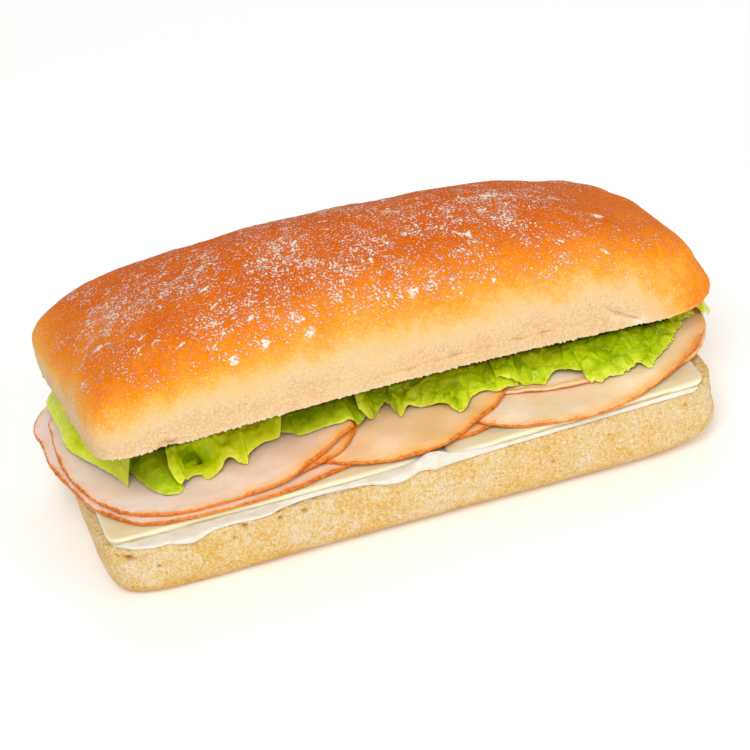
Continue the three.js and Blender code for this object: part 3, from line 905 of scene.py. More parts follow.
@dataclass(frozen=True)
class Crown:
    """Upper half of the roll: worked out on its cut face, then tilted open onto the filling.

    place is where the middle of its cut face comes; tilt, lean and turn are degrees about X, Y and
    Z. crease is the line in the front: from X to X, level and depth. flap is the edge of the torn
    skin: X, level there and slope. hollow and chip are marks in the front: X, half width, level and
    half height. drifts of flour are X, Y and radius; clumps of flour are points.
    """

    length: float = 204.0
    width: float = 90.0
    height: float = 38.8
    widest: float = 9.8
    squareness: float = 10.8
    top_squareness: float = 2.9
    dome_power: float = 1.74
    end_slope: float = 1.66
    cut_inset: float = 0.9
    swell: float = 0.765
    narrowing: float = 0.079
    lowering: float = 0.05
    bow: float = 1.6
    around: int = 1200
    cut_rows: int = 12
    side_rows: int = 26
    dome_rows: int = 44
    place: tuple[float, float, float] = (3.0, 7.5, 41.9)
    tilt: float = -8.9
    lean: float = 2.1
    turn: float = 1.9
    crease: tuple[float, float, float, float] = (-22.0, 60.0, 3.9, 0.8)
    flap: tuple[float, float, float] = (63.5, 7.6, 0.62)
    hollow: tuple[float, float, float, float] = (-80, 4.5, 0.5, 2.0)
    chip: tuple[float, float, float, float] = (73.6, 2.8, 1.3, 1.6)
    strewn: int = 26
    strewn_rows: tuple[int, int] = (50, 74)
    drifts: tuple[tuple[float, float, float], ...] = (
        (-86, -5, 14), (-68, -8, 14), (-30, -18, 20), (12, -19, 18), (46, -8, 14),
    )
    clumps: tuple[tuple[float, float, float], ...] = (
        (3.0, -36.3, 24.6), (-31.6, -40.7, 21.3), (-45.3, -41.3, 21.4), (-55.9, -43.2, 19.7),
        (-77.0, -32.1, 26.7), (-81.9, -22.5, 27.5), (-72.2, -25.8, 29.7),
    )

    def matrix(self) -> Array:
        """Turn about X, then Y, then Z.

        Returns:
            The matrix, 3 by 3.
        """
        angles = np.radians([self.tilt, self.lean, self.turn])
        tilt, lean, turn = (Matrix.Rotation(angle, 3, axis) for angle, axis in zip(angles, "XYZ"))
        return np.array(turn @ lean @ tilt)

    def cut_height(self, x: Array) -> Array:
        """Height of the bowed cut face in the upper half's own frame."""
        return self.bow * (1 - 2 * (x / (self.length / 2)) ** 2)

    def underside(self, x: Array, y: Array) -> Array:
        """Height of the cut face over the filling, also past its outline: its tilted plane and bow.

        Args:
            x: Places along X.
            y: Places along Y.

        Returns:
            The heights.
        """
        normal = self.matrix()[:, 2]
        at_x, at_y, at_z = self.place
        fall = (normal[0] * (x - at_x) + normal[1] * (y - at_y)) / normal[2]
        return at_z - fall + self.cut_height(x - at_x)

    def rows(self) -> tuple[Array, Array, Array, Array]:
        """Rows from the cut face's middle, round the side, over the dome to its top.

        Returns:
            For each row its height, inset from the long sides, inset from the ends and squareness.
        """
        half_width, half_length = self.width / 2, self.length / 2
        face = 1 - np.geomspace(0.95, 0.003, self.cut_rows)
        side = self.widest * np.linspace(0, 1, self.side_rows) ** 1.3
        rise = np.minimum(np.sin(np.linspace(0, np.pi / 2, self.dome_rows)[1:-1]), 0.9995)
        inset_side = self.cut_inset * (1 - side / self.widest) ** 2
        inset_dome = half_width * (1 - (1 - rise**self.dome_power) ** (1 / self.dome_power))
        blend = self.squareness + (self.top_squareness - self.squareness) * rise
        under = (self.cut_inset + half * (1 - face) for half in (half_width, half_length))
        dome = self.widest + (self.height - self.widest) * rise
        height, inset, end_inset, power = profile_of(
            (0, *under, self.squareness),
            (side, inset_side, inset_side, self.squareness),
            (dome, inset_dome, self.end_slope * inset_dome, blend),
        )
        # The last row stays open, so that its points don't fall together.
        most = 0.985 * half_width, 0.985 * half_length
        return height, np.minimum(inset, most[0]), np.minimum(end_inset, most[1]), power

    def risen(self, x: Array, y: Array, height: Array) -> Array:
        """The dough's uneven rise: narrower and lower to the right, bulged and dented at its right end.

        Each bulge or dent is a bell over the height or along X that an eased step fades in.

        Args:
            x: Points of the even form along X.
            y: The same along Y.
            height: Height of each row above the cut face.

        Returns:
            The points of the risen form.
        """
        share = x / (self.length / 2)
        lump = 0.5 * unevenness(x, y + height, 46, 2.1) * np.minimum(1, height / self.widest)
        y = y * (1 - self.narrowing * share) * (1 + lump / (self.width / 2))
        dip = (1.1 * bell(x + 57, 22) + 1.6 * bell(x - 76, 15)) * ease(height, 20, 34)
        bulge = self.swell * bell(height - 5.5, 4) - 2.0 * bell(height - 12.5, 5)
        x = x + ease(share, 0.8, 1.0) * (bulge - 1.2 * ease(height, 3, 0))
        x = x + 2.0 * ease(share, 0.65, 0.88) * bell(height - 23, 4.5) * ease(-y, -22, -8)
        x = x - 1.8 * ease(share, 0.7, 0.9) * ease(y, 8, 26) * ease(height, 10, 20)
        up = height / self.height
        z = height * (1 - self.lowering * share * up) + self.cut_height(x) - dip
        return np.stack([x, y, z + 1.2 * ease(x, 82, 98) * (1 - up)], -1)

    def baking(self, x: Array, height: Array, wander: Array) -> Array:
        """How brown the crust is: browner with height, and further down at the ends.

        Args:
            x: Places along X.
            height: Height of each row above the cut face.
            wander: How far the brown reaches down, in millimetres, by chance.

        Returns:
            0 for pale crust to 1 for the brown top.
        """
        ends = ease(x, 54, 94) * np.maximum(17 - height, 0) + 4.2 * ease(x, 76, 98)
        ends = ends + 4.5 * ease(-x, 78, 98) + 2.5 * ease(-x, 46, 76) * ease(height, 12, 22)
        low = height + 2.4 + ends + wander
        return 0.55 * ease(low, 8.5, 26.5) + 0.45 * ease(low, 21, 38)

    def build(self) -> None:
        """Carries the rows round the outline, adds the marks of the oven and knife, puts it in place."""
        height, inset, end_inset, power = self.rows()
        angle = spaced_angles(self.length / 2, self.width / 2, self.squareness, self.around)[None]
        x, y = squarish(self.length / 2 - end_inset, self.width / 2 - inset, power, angle)
        front = ease(-y, self.width / 4, self.width / 3)
        grid = self.risen(x, y, height)
        x = grid[..., 0]
        grain = Grain(23)
        above = ease(height, 0, 3)
        fine = 0.1 * grain.layered(grid, 3.5, 3, 0.7) + 0.06 * grain.layered(grid + 20, 1.2, 2, 0.7)
        relief = above * (0.4 * grain.layered(grid, 16, 2) + fine)
        ragged = ease(height, 1.7, 0.1) * (0.4 + 0.6 * ease(grain.at(grid, 18), -0.3, 0.5))
        relief = relief + ragged * 0.6 * grain.layered(grid + 90, 0.9, 2, 0.7)
        crease, torn = self.crease_at(grid, height, front, grain)
        hollow = front * spot(x, height, self.hollow)
        relief = relief - crease - 1.2 * hollow * (1 + grain.at(grid, 2))
        grid = grid + normals_of(grid, True) * relief[..., None]
        marks = {
            "bake": self.baking(x, height, 2.2 * grain.at(grid, 42) + 1.5 * grain.at(grid, 9)),
            "flour": self.flour(grid, height, front, grain) + 0.5 * torn,
            "torn": np.maximum(torn, 0.4 * ragged * front),
        }
        grid = grid @ self.matrix().T + np.array(self.place)
        make_piece("roll_upper_half", ring_shell(grid), GoldenCrust(), "bread_top", close_marks(marks))

    def flour(self, grid: Array, height: Array, front: Array, grain: Grain) -> Array:
        """How thick the flour lies: a broad dusting on the dome, smears on the side, and clumps.

        The dusting rises with height and wanders by noise; each clump is a bell of the distance.

        Args:
            grid: Points of the upper half in its own frame.
            height: Height of each row above the cut face.
            front: 1 at the front, 0 elsewhere.
            grain: Noise for the patches.

        Returns:
            About 0 for bare crust, 1 for a dusting and more in clumps.
        """
        x = grid[..., 0]
        ridge = np.minimum(ease(height, 11, 26) + 0.45 * ease(-x, 92, 101) * ease(height, 2, 9), 1)
        drifts = sum(
            bell(np.hypot(x - at_x, grid[..., 1] - at_y), wide) for at_x, at_y, wide in self.drifts
        )
        flour = ridge * (0.85 - 0.3 * ease(x, 40, 95) + 0.2 * drifts + 0.35 * grain.layered(grid, 16, 3))
        flour = flour + 0.9 * bell(np.hypot(grid[..., 1] + 21, height - 7), 11) * ease(-x, 92, 98)
        stretched = grid * np.array([0.4, 1, 1]) + 15
        smear = bell(height - 10, 5) * front * ease(x, 5, 30)
        flour = flour + 0.8 * smear * ease(grain.layered(stretched, 6, 2), 0.1, 0.6)
        draw = np.random.default_rng(29)
        rows = draw.integers(*self.strewn_rows, self.strewn)
        strewn = grid[rows, draw.integers(0, self.around, self.strewn)]
        spots = np.concatenate([np.array(self.clumps) + [0, 0, 1.2], strewn])
        sizes = np.concatenate([np.full(len(self.clumps), 1.4), draw.uniform(0.4, 0.9, self.strewn)])
        wander = 1 + 0.5 * grain.layered(grid + 7, 1.5, 2)
        for spot, size in zip(spots, sizes):
            flour = flour + 1.9 * bell(np.linalg.norm(grid - spot, axis=-1) * wander, size)
        return flour

    def brim(self, x: Array) -> tuple[Array, Array]:
        """Where the front edge of the cut face runs.

        Args:
            x: Places along X.

        Returns:
            Y and Z of the edge at those places.
        """
        along = x - self.place[0]
        reach = (self.width / 2 - self.cut_inset) * (1 - self.narrowing * along / (self.length / 2))
        edge = np.stack([along, -reach, self.cut_height(along)], -1) @ self.matrix().T
        return edge[..., 1] + self.place[1], edge[..., 2] + self.place[2]

    def crease_at(self, grid: Array, height: Array, front: Array, grain: Grain) -> tuple[Array, Array]:
        """Depth of the crease along the front and share of the torn skin at its right.

        The crease is a bell across a wandering level; the skin lifts over a falling line at its right.

        Args:
            grid: Points of the upper half in its own frame.
            height: Height of each row above the cut face.
            front: 1 at the front, 0 elsewhere.
            grain: Noise for the wandering lines.

        Returns:
            Depth in millimetres and share from 0 to 1.
        """
        start, stop, level, depth = self.crease
        x = grid[..., 0]
        flat = grid * np.array([1, 0, 0])
        line = level + 0.9 * grain.layered(flat, 7, 3) + 0.02 * (x - 20)
        along = ease(x, start, start + 16) * ease(-x, -stop, 16 - stop) * front
        crease = along * depth * (0.3 + 1.0 * ease(grain.at(flat + 40, 5), -0.3, 0.5)) * (
            0.6 * bell(height - line, 1.7) + 0.9 * bell(height - line, 0.45)
        )
        at_x, at_level, slope = self.flap
        edge = at_level - slope * (x - at_x) + 0.5 * grain.at(flat + 70, 3)
        flap = front * ease(x, 58, 65) * ease(-x, -76, -72)
        crease = crease + flap * (0.9 * bell(height - edge, 0.55) - 0.5 * bell(height - edge - 1.1, 0.9))
        rough = ease(grain.layered(grid + 33, 2.2, 2), -0.3, 0.5)
        torn = flap * 0.45 * ease(edge - height, -0.2, 0.6) * ease(edge - height, 5, 1.5) * rough
        chipped = front * spot(x, height, self.chip)
        return crease + 0.4 * chipped, np.maximum(torn, 0.9 * chipped)


# Filling


@dataclass(frozen=True)
class CheeseSlice:
    """A slab with round corners that lies on the mayonnaise."""

    node: str
    x: float
    y: float
    length: float
    width: float
    turn: float
    thickness: float = 2.5
    corner_radius: float = 3.5
    rounding: float = 0.9
    around: int = 480
    flat_rows: int = 22
    rim_rows: int = 13

    def front(self, x: Array) -> Array:
        """Y of the front edge at a place along X."""
        slope = np.tan(np.radians(self.turn))
        return self.y - self.width / 2 / np.cos(np.radians(self.turn)) + slope * (x - self.x)

    def build(self, bottom: "Spread", seed: int) -> None:
        """Rings from the underside's middle round a softly cut edge to the top's middle.

        Args:
            bottom: The spread that it lies on.
            seed: Picks its unevenness.
        """
        power = self.width / self.corner_radius
        half = self.length / 2, self.width / 2
        angle = spaced_angles(*half, power, self.around, 2.0)[None]
        share, bent, rise = slab_profile(self.flat_rows, self.rim_rows)
        inset, rise = self.rounding * bent, self.thickness * rise
        x, y = squarish(half[0] - inset, half[1] - inset, power, angle)
        x, y = x * share, y * share
        turn = np.radians(self.turn)
        c, s = np.cos(turn), np.sin(turn)
        x, y = self.x + x * c - y * s, self.y + x * s + y * c
        grid = np.stack([x, y, bottom.cheese_bottom(x) + rise], -1)
        grain = Grain(seed)
        flat = grid * np.array([1, 1, 0.3])
        ragged = ease(share, 0.9, 1.0) * 0.12 * grain.layered(flat, 8, 2)
        grid[..., :2] += ragged[..., None] * normals_of(grid, True)[..., :2]
        upper = ease(rise, 0.3 * self.thickness, self.thickness)
        sag = 0.35 * ease(share, 0.93, 1.0)
        grid[..., 2] += upper * (0.16 * grain.at(flat, 16) - sag)
        cut = ease(share, 0.97, 1.0)
        wall = bell(rise - self.thickness / 2, 0.4 * self.thickness) * cut
        # Painted shade: an amber line along the crease where the cheese meets the mayonnaise.
        seam_shade = bell(rise - 0.95, 0.4) * cut * ease(grain.at(flat, 13), -0.15, 0.3)
        marks = {"rim": 0.9 * np.broadcast_to(wall, x.shape), "seam_shade": 0.85 * seam_shade}
        name = self.node.replace("cheese_", "cheese_slice_")
        make_piece(name, ring_shell(grid), SlicedCheese(), self.node, close_marks(marks))


@dataclass(frozen=True)
class Spread:
    """Mayonnaise between the lower half and the cheese, with a bead squeezed out at the front.

    The bead's points are X, Y of its front, and how far it hangs down, bulges out and climbs up.
    seam is where along X one cheese gives way to the other, and over what length.
    """

    heel: Heel
    cheeses: tuple[CheeseSlice, CheeseSlice]
    thickness: float = 0.7
    left: float = -97.0
    right: float = 92.6
    back: float = 37.5
    end_radius: float = 4.0
    step: float = 0.6
    gap: float = 0.3
    seam: tuple[float, float] = (2.0, 6.0)
    bead: tuple[tuple[float, float, float, float, float], ...] = (
        (-98, -37.0, 0.0, 0.0, 0.0), (-94, -39.4, 0.0, 0.0, 0.0), (-91, -41.6, 0.0, 0.1, 0.0),
        (-88, -42.8, 0.0, 0.3, 0.0), (-84, -43.6, 0.2, 0.6, 0.0), (-80, -43.5, 0.1, 0.5, 0.0),
        (-76, -44.2, 1.0, 0.9, 0.1), (-72.5, -44.2, 1.7, 1.1, 0.1),
        (-69.5, -43.8, 0.6, 0.7, 0.1), (-66, -43.4, 0.0, 0.5, 0.1), (-60, -43.2, 0.0, 0.5, 0.2),
        (-53, -43.9, 0.1, 0.8, 0.2), (-48, -43.7, 0.1, 0.7, 0.1), (-44, -42.3, 0.0, 0.4, 0.0),
        (-38, -41.6, 0.0, 0.3, 0.0), (-30, -41.6, 0.0, 0.3, 0.0), (-24, -42.2, 0.0, 0.4, 0.0),
        (-18, -42.8, 0.0, 0.6, 0.1), (-13, -43.8, 0.5, 1.1, 0.5), (-8, -44.2, 1.4, 1.4, 0.8),
        (-4, -44.2, 0.8, 1.3, 1.2), (-0.5, -43.6, 0.0, 1.0, 2.2), (2.2, -43.7, 0.0, 1.5, 3.9),
        (4.6, -44.0, 0.5, 2.1, 4.5), (7.0, -43.8, 0.2, 1.8, 4.1), (9.5, -43.6, 0.0, 1.1, 2.7),
        (13, -43.8, 0.0, 1.0, 1.9), (17, -43.8, 0.0, 0.8, 1.2), (22, -43.8, 0.0, 0.4, 0.2),
        (30, -44.0, 0.0, 0.15, 0.0), (60, -44.0, 0.0, 0.15, 0.0), (93, -43.9, 0.0, 0.1, 0.0),
    )

    def cheese_bottom(self, x: Array) -> Array:
        """Height of the cheese's underside at a place along X."""
        return self.heel.top(x) + self.thickness + 2 * self.gap

    def build(self) -> None:
        """Its cross-section, underside first, carried along X and rounded off by subdivision."""
        x = np.arange(self.left, self.right + self.step / 2, self.step)
        points = np.array(self.bead)
        blur = np.array([1, 2, 3, 2, 1]) / 9
        front, down, out, up = (
            np.convolve(np.pad(np.interp(x, points[:, 0], values), 2, mode="edge"), blur, mode="valid")
            for values in points[:, 1:].T
        )
        grain = Grain(37)
        along = np.stack([x, 0 * x, 0 * x], -1)
        out = out * (1 + 0.2 * grain.layered(along, 5, 2))
        hang = ease(down, 0.1, 0.8)
        passed = np.clip((x - self.seam[0]) / self.seam[1], 0, 1)
        cheese = self.cheeses[0].front(x) * (1 - passed) + self.cheeses[1].front(x) * passed - 0.15
        cheese = cheese + 4 * ease(-x, 90, 97)
        front = np.minimum(front, cheese) * (1 - hang) - (self.heel.width / 2 + 0.35) * hang
        low = self.heel.top(x) + self.gap
        high = low + self.thickness
        from_end = np.minimum(x - self.left, self.right - x)
        end = np.clip(1 - from_end / self.end_radius, 0, 1)
        crest = 1 - ease(end, 0, 0.5)
        pull = self.end_radius * (1 - np.sqrt(1 - end**2))
        # The underside from the back to the front, round the bead, and back over the top.
        rows = [
            (self.back + 0 * x - pull, low),
            (front + 1.6, low),
            (front, low - 0.5 * down),
            (front - 0.1, low - down),
            (front - 0.7 * out, low - 0.1 - down),
            (front - out, low + 0.35 + 0.3 * up - 0.5 * down),
            (front - 0.75 * out, high + crest * (0.15 + 0.75 * up)),
            (front * 0.5 + cheese * 0.5, high + crest * (0.4 + up)),
            (cheese + 0.35 - 0.3 * ease(up, 0.5, 2), high + crest * (0.75 + 0.9 * up)),
            (cheese + 0.1, high),
            (self.back + 0 * x - pull, high),
        ]
        grid = np.stack([np.stack([x, y + pull, z], -1) for y, z in rows], axis=1)
        make_piece("mayonnaise_spread", ring_shell(grid[:, ::-1]), Mayonnaise(), "mayonnaise", levels=2)


class Pile:
    """Heights of whatever lies uppermost in the filling, on a square grid."""

    STEP = 0.75
    HALF_X = 114.0
    HALF_Y = 57.0

    def __init__(self, heights: Array | None = None) -> None:
        """Takes the heights, or makes a flat pile at height 0.

        Args:
            heights: Heights by row along Y and column along X.
        """
        halves = self.HALF_X, self.HALF_Y
        lines = (np.arange(-half, half + self.STEP / 2, self.STEP) for half in halves)
        self.x, self.y = np.meshgrid(*lines)
        self.heights = np.zeros(self.x.shape) if heights is None else heights

    def cells(self, x: Array, y: Array) -> tuple[Array, Array]:
        """Column and row of points, counted in steps and parts of a step."""
        return (x + self.HALF_X) / self.STEP, (y + self.HALF_Y) / self.STEP

    def at(self, x: Array, y: Array) -> Array:
        """Height over points, read between the four grid points round each.

        Args:
            x: Places along X.
            y: Places along Y.

        Returns:
            The heights.
        """
        rows, columns = self.heights.shape
        u, v = self.cells(x, y)
        u, v = np.clip(u, 0, columns - 1.001), np.clip(v, 0, rows - 1.001)
        i, j = u.astype(int), v.astype(int)
        s, t = u - i, v - j
        near = self.heights[j, i] * (1 - s) + self.heights[j, i + 1] * s
        far = self.heights[j + 1, i] * (1 - s) + self.heights[j + 1, i + 1] * s
        return near * (1 - t) + far * t

    def around(self, radius: float) -> Array:
        """The heights shifted by every step within a radius.

        Args:
            radius: Longest shift in millimetres.

        Returns:
            The shifted heights, stacked in the first direction.
        """
        reach = int(np.ceil(radius / self.STEP))
        padded = np.pad(self.heights, reach, mode="edge")
        shifted = np.lib.stride_tricks.sliding_window_view(padded, self.heights.shape)
        j, i = np.indices(shifted.shape[:2]) - reach
        return shifted[np.hypot(i, j) * self.STEP <= radius]

    def draped(self, reach: float, softness: float) -> "Pile":
        """A pile as a soft sheet lies on it: raised to the highest point near, then averaged."""
        return Pile(Pile(self.around(reach).max(axis=0)).around(softness).mean(axis=0))

    def lay(self, points: Array) -> None:
        """Raises the heights to a piece's top side.

        Args:
            points: A dense cloud of points of that side.
        """
        i, j = (np.rint(part).astype(int) for part in self.cells(points[..., 0], points[..., 1]))
        rows, columns = self.heights.shape
        inside = (i >= 0) & (i < columns) & (j >= 0) & (j < rows)
        np.maximum.at(self.heights, (j[inside], i[inside]), points[..., 2][inside])


@dataclass(frozen=True)
class TurkeySlice:
    """An uneven oval sheet draped over the pile; front and back are its reaches along Y.

    blunt pulls its edge in: between two angles, by so many millimetres. pushed moves the edge
    outward: bearings from the middle in degrees, each with its millimetres. tan is how brown the
    flesh is at the left and at the right, crust the share of the cut side that is browned skin.
    """

    number: int
    x: float
    y: float
    half: float
    front: float
    back: float
    squareness: float
    lift: float = 0.0
    blunt: tuple[float, float, float] = (0.0, 1.0, 0.0)
    pushed: tuple[tuple[float, float], ...] = ((0.0, 0.0),)
    tan: tuple[float, float] = (0.5, 0.5)
    crust: float = 1.0
    meat: TurkeyMeat = field(default_factory=TurkeyMeat)
    thickness: float = 1.35
    rounding: float = 0.45
    around: int = 480
    flat_rows: int = 36
    rim_rows: int = 11
    lift_spot: tuple[float, float, float] = (40.0, -42.0, 14.0)
    reach: float = 5.0
    softness: float = 3.5

    def build(self, pile: Pile) -> None:
        """Rings from the underside's middle round a soft rim to the top's middle.

        Args:
            pile: What it lies on; it is raised by the slice.
        """
        support = pile.draped(self.reach, self.softness)
        depth = (self.front + self.back) / 2
        angle = spaced_angles(self.half, depth, self.squareness, self.around)[None]
        share, bent, rise = slab_profile(self.flat_rows, self.rim_rows)
        inset = self.rounding * bent
        number = self.number
        uneven = 1 + 0.012 * np.sin(3 * angle + number) + 0.008 * np.sin(7 * angle + 2 * number)
        reach = np.where(np.sin(angle) < 0, self.front, self.back)
        start, stop, blunted = self.blunt
        past, span = np.mod(angle - start, TURN), stop - start
        uneven = uneven - blunted / self.half * ease(past, 0, 0.12) * ease(-past, -span - 0.5, -span)
        x, y = squarish(self.half * uneven - inset, reach * uneven - inset, self.squareness, angle)
        bearing, table = np.degrees(np.arctan2(y, x)), np.array(self.pushed).T
        push = sum(np.interp(bearing + k, *table, period=360) for k in (-6, -3, 0, 3, 6)) / 5
        stretch = share * (1 + push / np.hypot(x, y))
        x, y = x * stretch, y * stretch
        grain = Grain(50 + number)
        flat = np.stack([self.x + x, self.y + y, 0 * x], -1)
        edge = ease(share, 0.93, 1.0)
        ragged = 1 + edge * (0.004 * grain.layered(flat, 7, 2) + 0.0025 * grain.layered(flat, 1.6, 2))
        x, y = x * ragged, y * ragged
        at_x, at_y, wide = self.lift_spot
        raised = self.lift * bell(np.hypot(x - at_x, y - at_y), wide)
        x, y = x + self.x, y + self.y
        ripple = 0.16 * (1 + grain.at(flat, 17)) * (0.3 + 0.7 * rise)
        thick = self.thickness * (1 - 0.25 * edge * (1 + grain.layered(flat + 30, 5, 2)))
        z = support.at(x, y) + GAP + raised + ripple + rise * thick
        grid = np.stack([x, y, z], -1)
        pile.lay(grid[len(grid) // 2 :])
        # Skin covers the rim; where crust is below 1, flesh shows on the rim's upper part.
        bare = (1 - self.crust) * ease(np.arcsin(2 * rise - 1), -1.0, 0.1) * (share == 1)
        inward = (1 - share) / np.maximum(share, 0.01) * np.hypot(x - self.x, y - self.y)
        left, right = self.tan
        marks = {
            "rim": inward + 1.2 * (bent - 1) + 2.2 * bare,
            "tan": left + (right - left) * ease(x - self.x, -0.8 * self.half, 0.5 * self.half),
        }
        name, node = f"turkey_slice_{number}", f"turkey_{number}"
        make_piece(name, ring_shell(grid), self.meat, node, close_marks(marks))


@dataclass(frozen=True)
class Leaf:
    """A frilled sheet between the filling and the bread, from a hidden root line to its margin.

    The margin's points are x, y and height above what lies under it. crest is the leaf's height in
    the free wedge (0 filling, 1 bread), fullness how close to the margin the leaf stays high, waves
    and swing the count and size of its folds, crinkle the height of its blisters, teeth the reach
    of its uneven edge, jags that of pointed teeth towards its right end. hood is a fold that hangs
    over itself: its place along the margin, its half width, how far it reaches over, and its height.
    tuck is how flat the left end lies on the leaf under it.
    """

    number: int
    node: str
    root: tuple[tuple[float, float], ...]
    margin: tuple[tuple[float, float, float], ...]
    crest: float
    waves: float
    swing: float
    fullness: float = 1.2
    crinkle: float = 0.5
    teeth: float = 0.3
    jags: float = 0.0
    hood: tuple[float, float, float, float] = (0.5, 0.1, 0.0, 0.0)
    tuck: float = 0.0
    thickness: float = 0.4
    finish: LettuceLeaf = field(default_factory=LettuceLeaf)
    cells: tuple[int, int] = (200, 110)

    def build(self, pile: Pile, crown: Crown) -> None:
        """Lines from root to margin, lifted over the pile into an arch that sinks to the margin.

        Args:
            pile: What it lies on; it is raised by the leaf.
            crown: The upper half, which it stays under.
        """
        along, deep = self.cells
        floor = pile.draped(1.2, 1.0)
        u = np.linspace(0, 1, along + 1)[None]
        v = 1 - (1 - np.linspace(0, 1, deep + 1)[:, None]) ** 1.5
        start, end = smooth_line(self.root, u), smooth_line(self.margin, u)
        walked = np.concatenate([[0], np.linalg.norm(np.diff(end[0], axis=0), axis=1).cumsum()])[None]
        beside = np.stack([walked, 0 * walked, 0 * walked], -1)
        grain = Grain(80 + self.number)
        frill = np.sin(self.waves * TURN * u + self.number)
        ray = end[..., :2] - start
        length = np.linalg.norm(ray, axis=-1)
        notch = np.abs(np.mod(walked / 2.3 + 1.1 * grain.at(beside, 7), 1) - 0.5) - 0.25
        notch = notch * ease(grain.at(beside + 40, 4), -0.5, 0.5)
        tooth = self.teeth * grain.layered(beside, 2.6, 3, 0.7) * v**12
        tooth = tooth + 4 * self.jags * ease(u, 0.3, 0.75) * notch * v**90
        where, spread, over, height = self.hood
        fold = bell(u - where, spread) * ease(u, 0, 0.04) * (height > 0)
        turn = np.clip((v - 0.72) / 0.28, 0, 1)
        out = v + (tooth + over * fold * np.sin(TURN * turn)) / length
        x, y = start[..., 0] + ray[..., 0] * out, start[..., 1] + ray[..., 1] * out
        low = floor.at(x, y) + GAP
        room = np.maximum(crown.underside(x, y) - 0.5 - self.thickness - low, 0)
        arch = self.crest * np.sin(np.pi * np.minimum(0.25 + 0.75 * v**self.fullness, 1))
        arch = arch * (1 - 0.8 * fold * ease(v, 0.3, 0.7))
        wave = self.swing * (1 + frill) * v**2 * (1 - v**6)
        wave = wave + 0.8 * (1 + unevenness(x, y, 17, self.number)) * arch
        raised = height * fold * ease(v, 0.35, 0.74) * ease(-turn, -0.72, -0.2)
        rise = (room * arch + wave) * (1 - self.tuck * ease(-u, -0.1, 0)) + end[..., 2] * v**6 + raised
        soft = ease(v, 0.2, 0.6) * (1 - 0.6 * v**10)
        grid = np.stack([x, y, low + np.clip(rise, 0, room)], -1)
        creased = np.abs(grain.layered(grid * [1, 1, 0.7], 6.0, 2, 0.35))
        blister = np.minimum(creased, 0.35) - 0.15 + 0.12 * grain.layered(grid + 60, 2.4, 2)
        grid = grid + normals_of(grid, False) * (self.crinkle * 2 * blister * soft)[..., None]
        lowest = floor.at(grid[..., 0], grid[..., 1]) + GAP
        grid[..., 2] = np.clip(grid[..., 2], lowest, np.maximum(low + room, lowest))
        upper = grid + np.array([0, 0, 1]) * (self.thickness * (1 - 0.4 * v**12))[..., None]
        pile.lay(upper)
        # Painted shade: the sunken creases between the blisters are darkened in colour.
        painted_crease_shade = np.broadcast_to(soft, x.shape) * ease(creased, 0.16, 0.0)
        # Painted shade: the leaf is darkened where no light comes in over the line that falls inward from
        # the edge of the bread, and inside the hood's fold.
        edge_y, edge_z = crown.brim(grid[..., 0])
        from_end = crown.length / 2 - np.abs(grid[..., 0] - crown.place[0])
        inside = np.minimum(grid[..., 1] - edge_y, from_end)
        painted_brim_shade = ease(0.65 * inside + grid[..., 2] - edge_z, -2.4, 0.5)
        painted_fold_shade = fold * ease(turn, 0.3, 0.6) * ease(-turn, -0.95, -0.7)
        marks = {
            # The margin yellows: partly the leaf's own colour, partly painted glow of light through its
            # thin edge.
            "young_and_glow": np.exp(-(1 - v) * length / 1.8),
            "painted_crease_shade": painted_crease_shade,
            "shade": np.maximum(0.35 * painted_fold_shade, painted_brim_shade),
        }
        both = {mark: np.tile(values.ravel(), 2) for mark, values in marks.items()}
        name = self.node.replace("lettuce_", "lettuce_leaf_")
        make_piece(name, sheet_shell(grid, upper), self.finish, self.node, both)


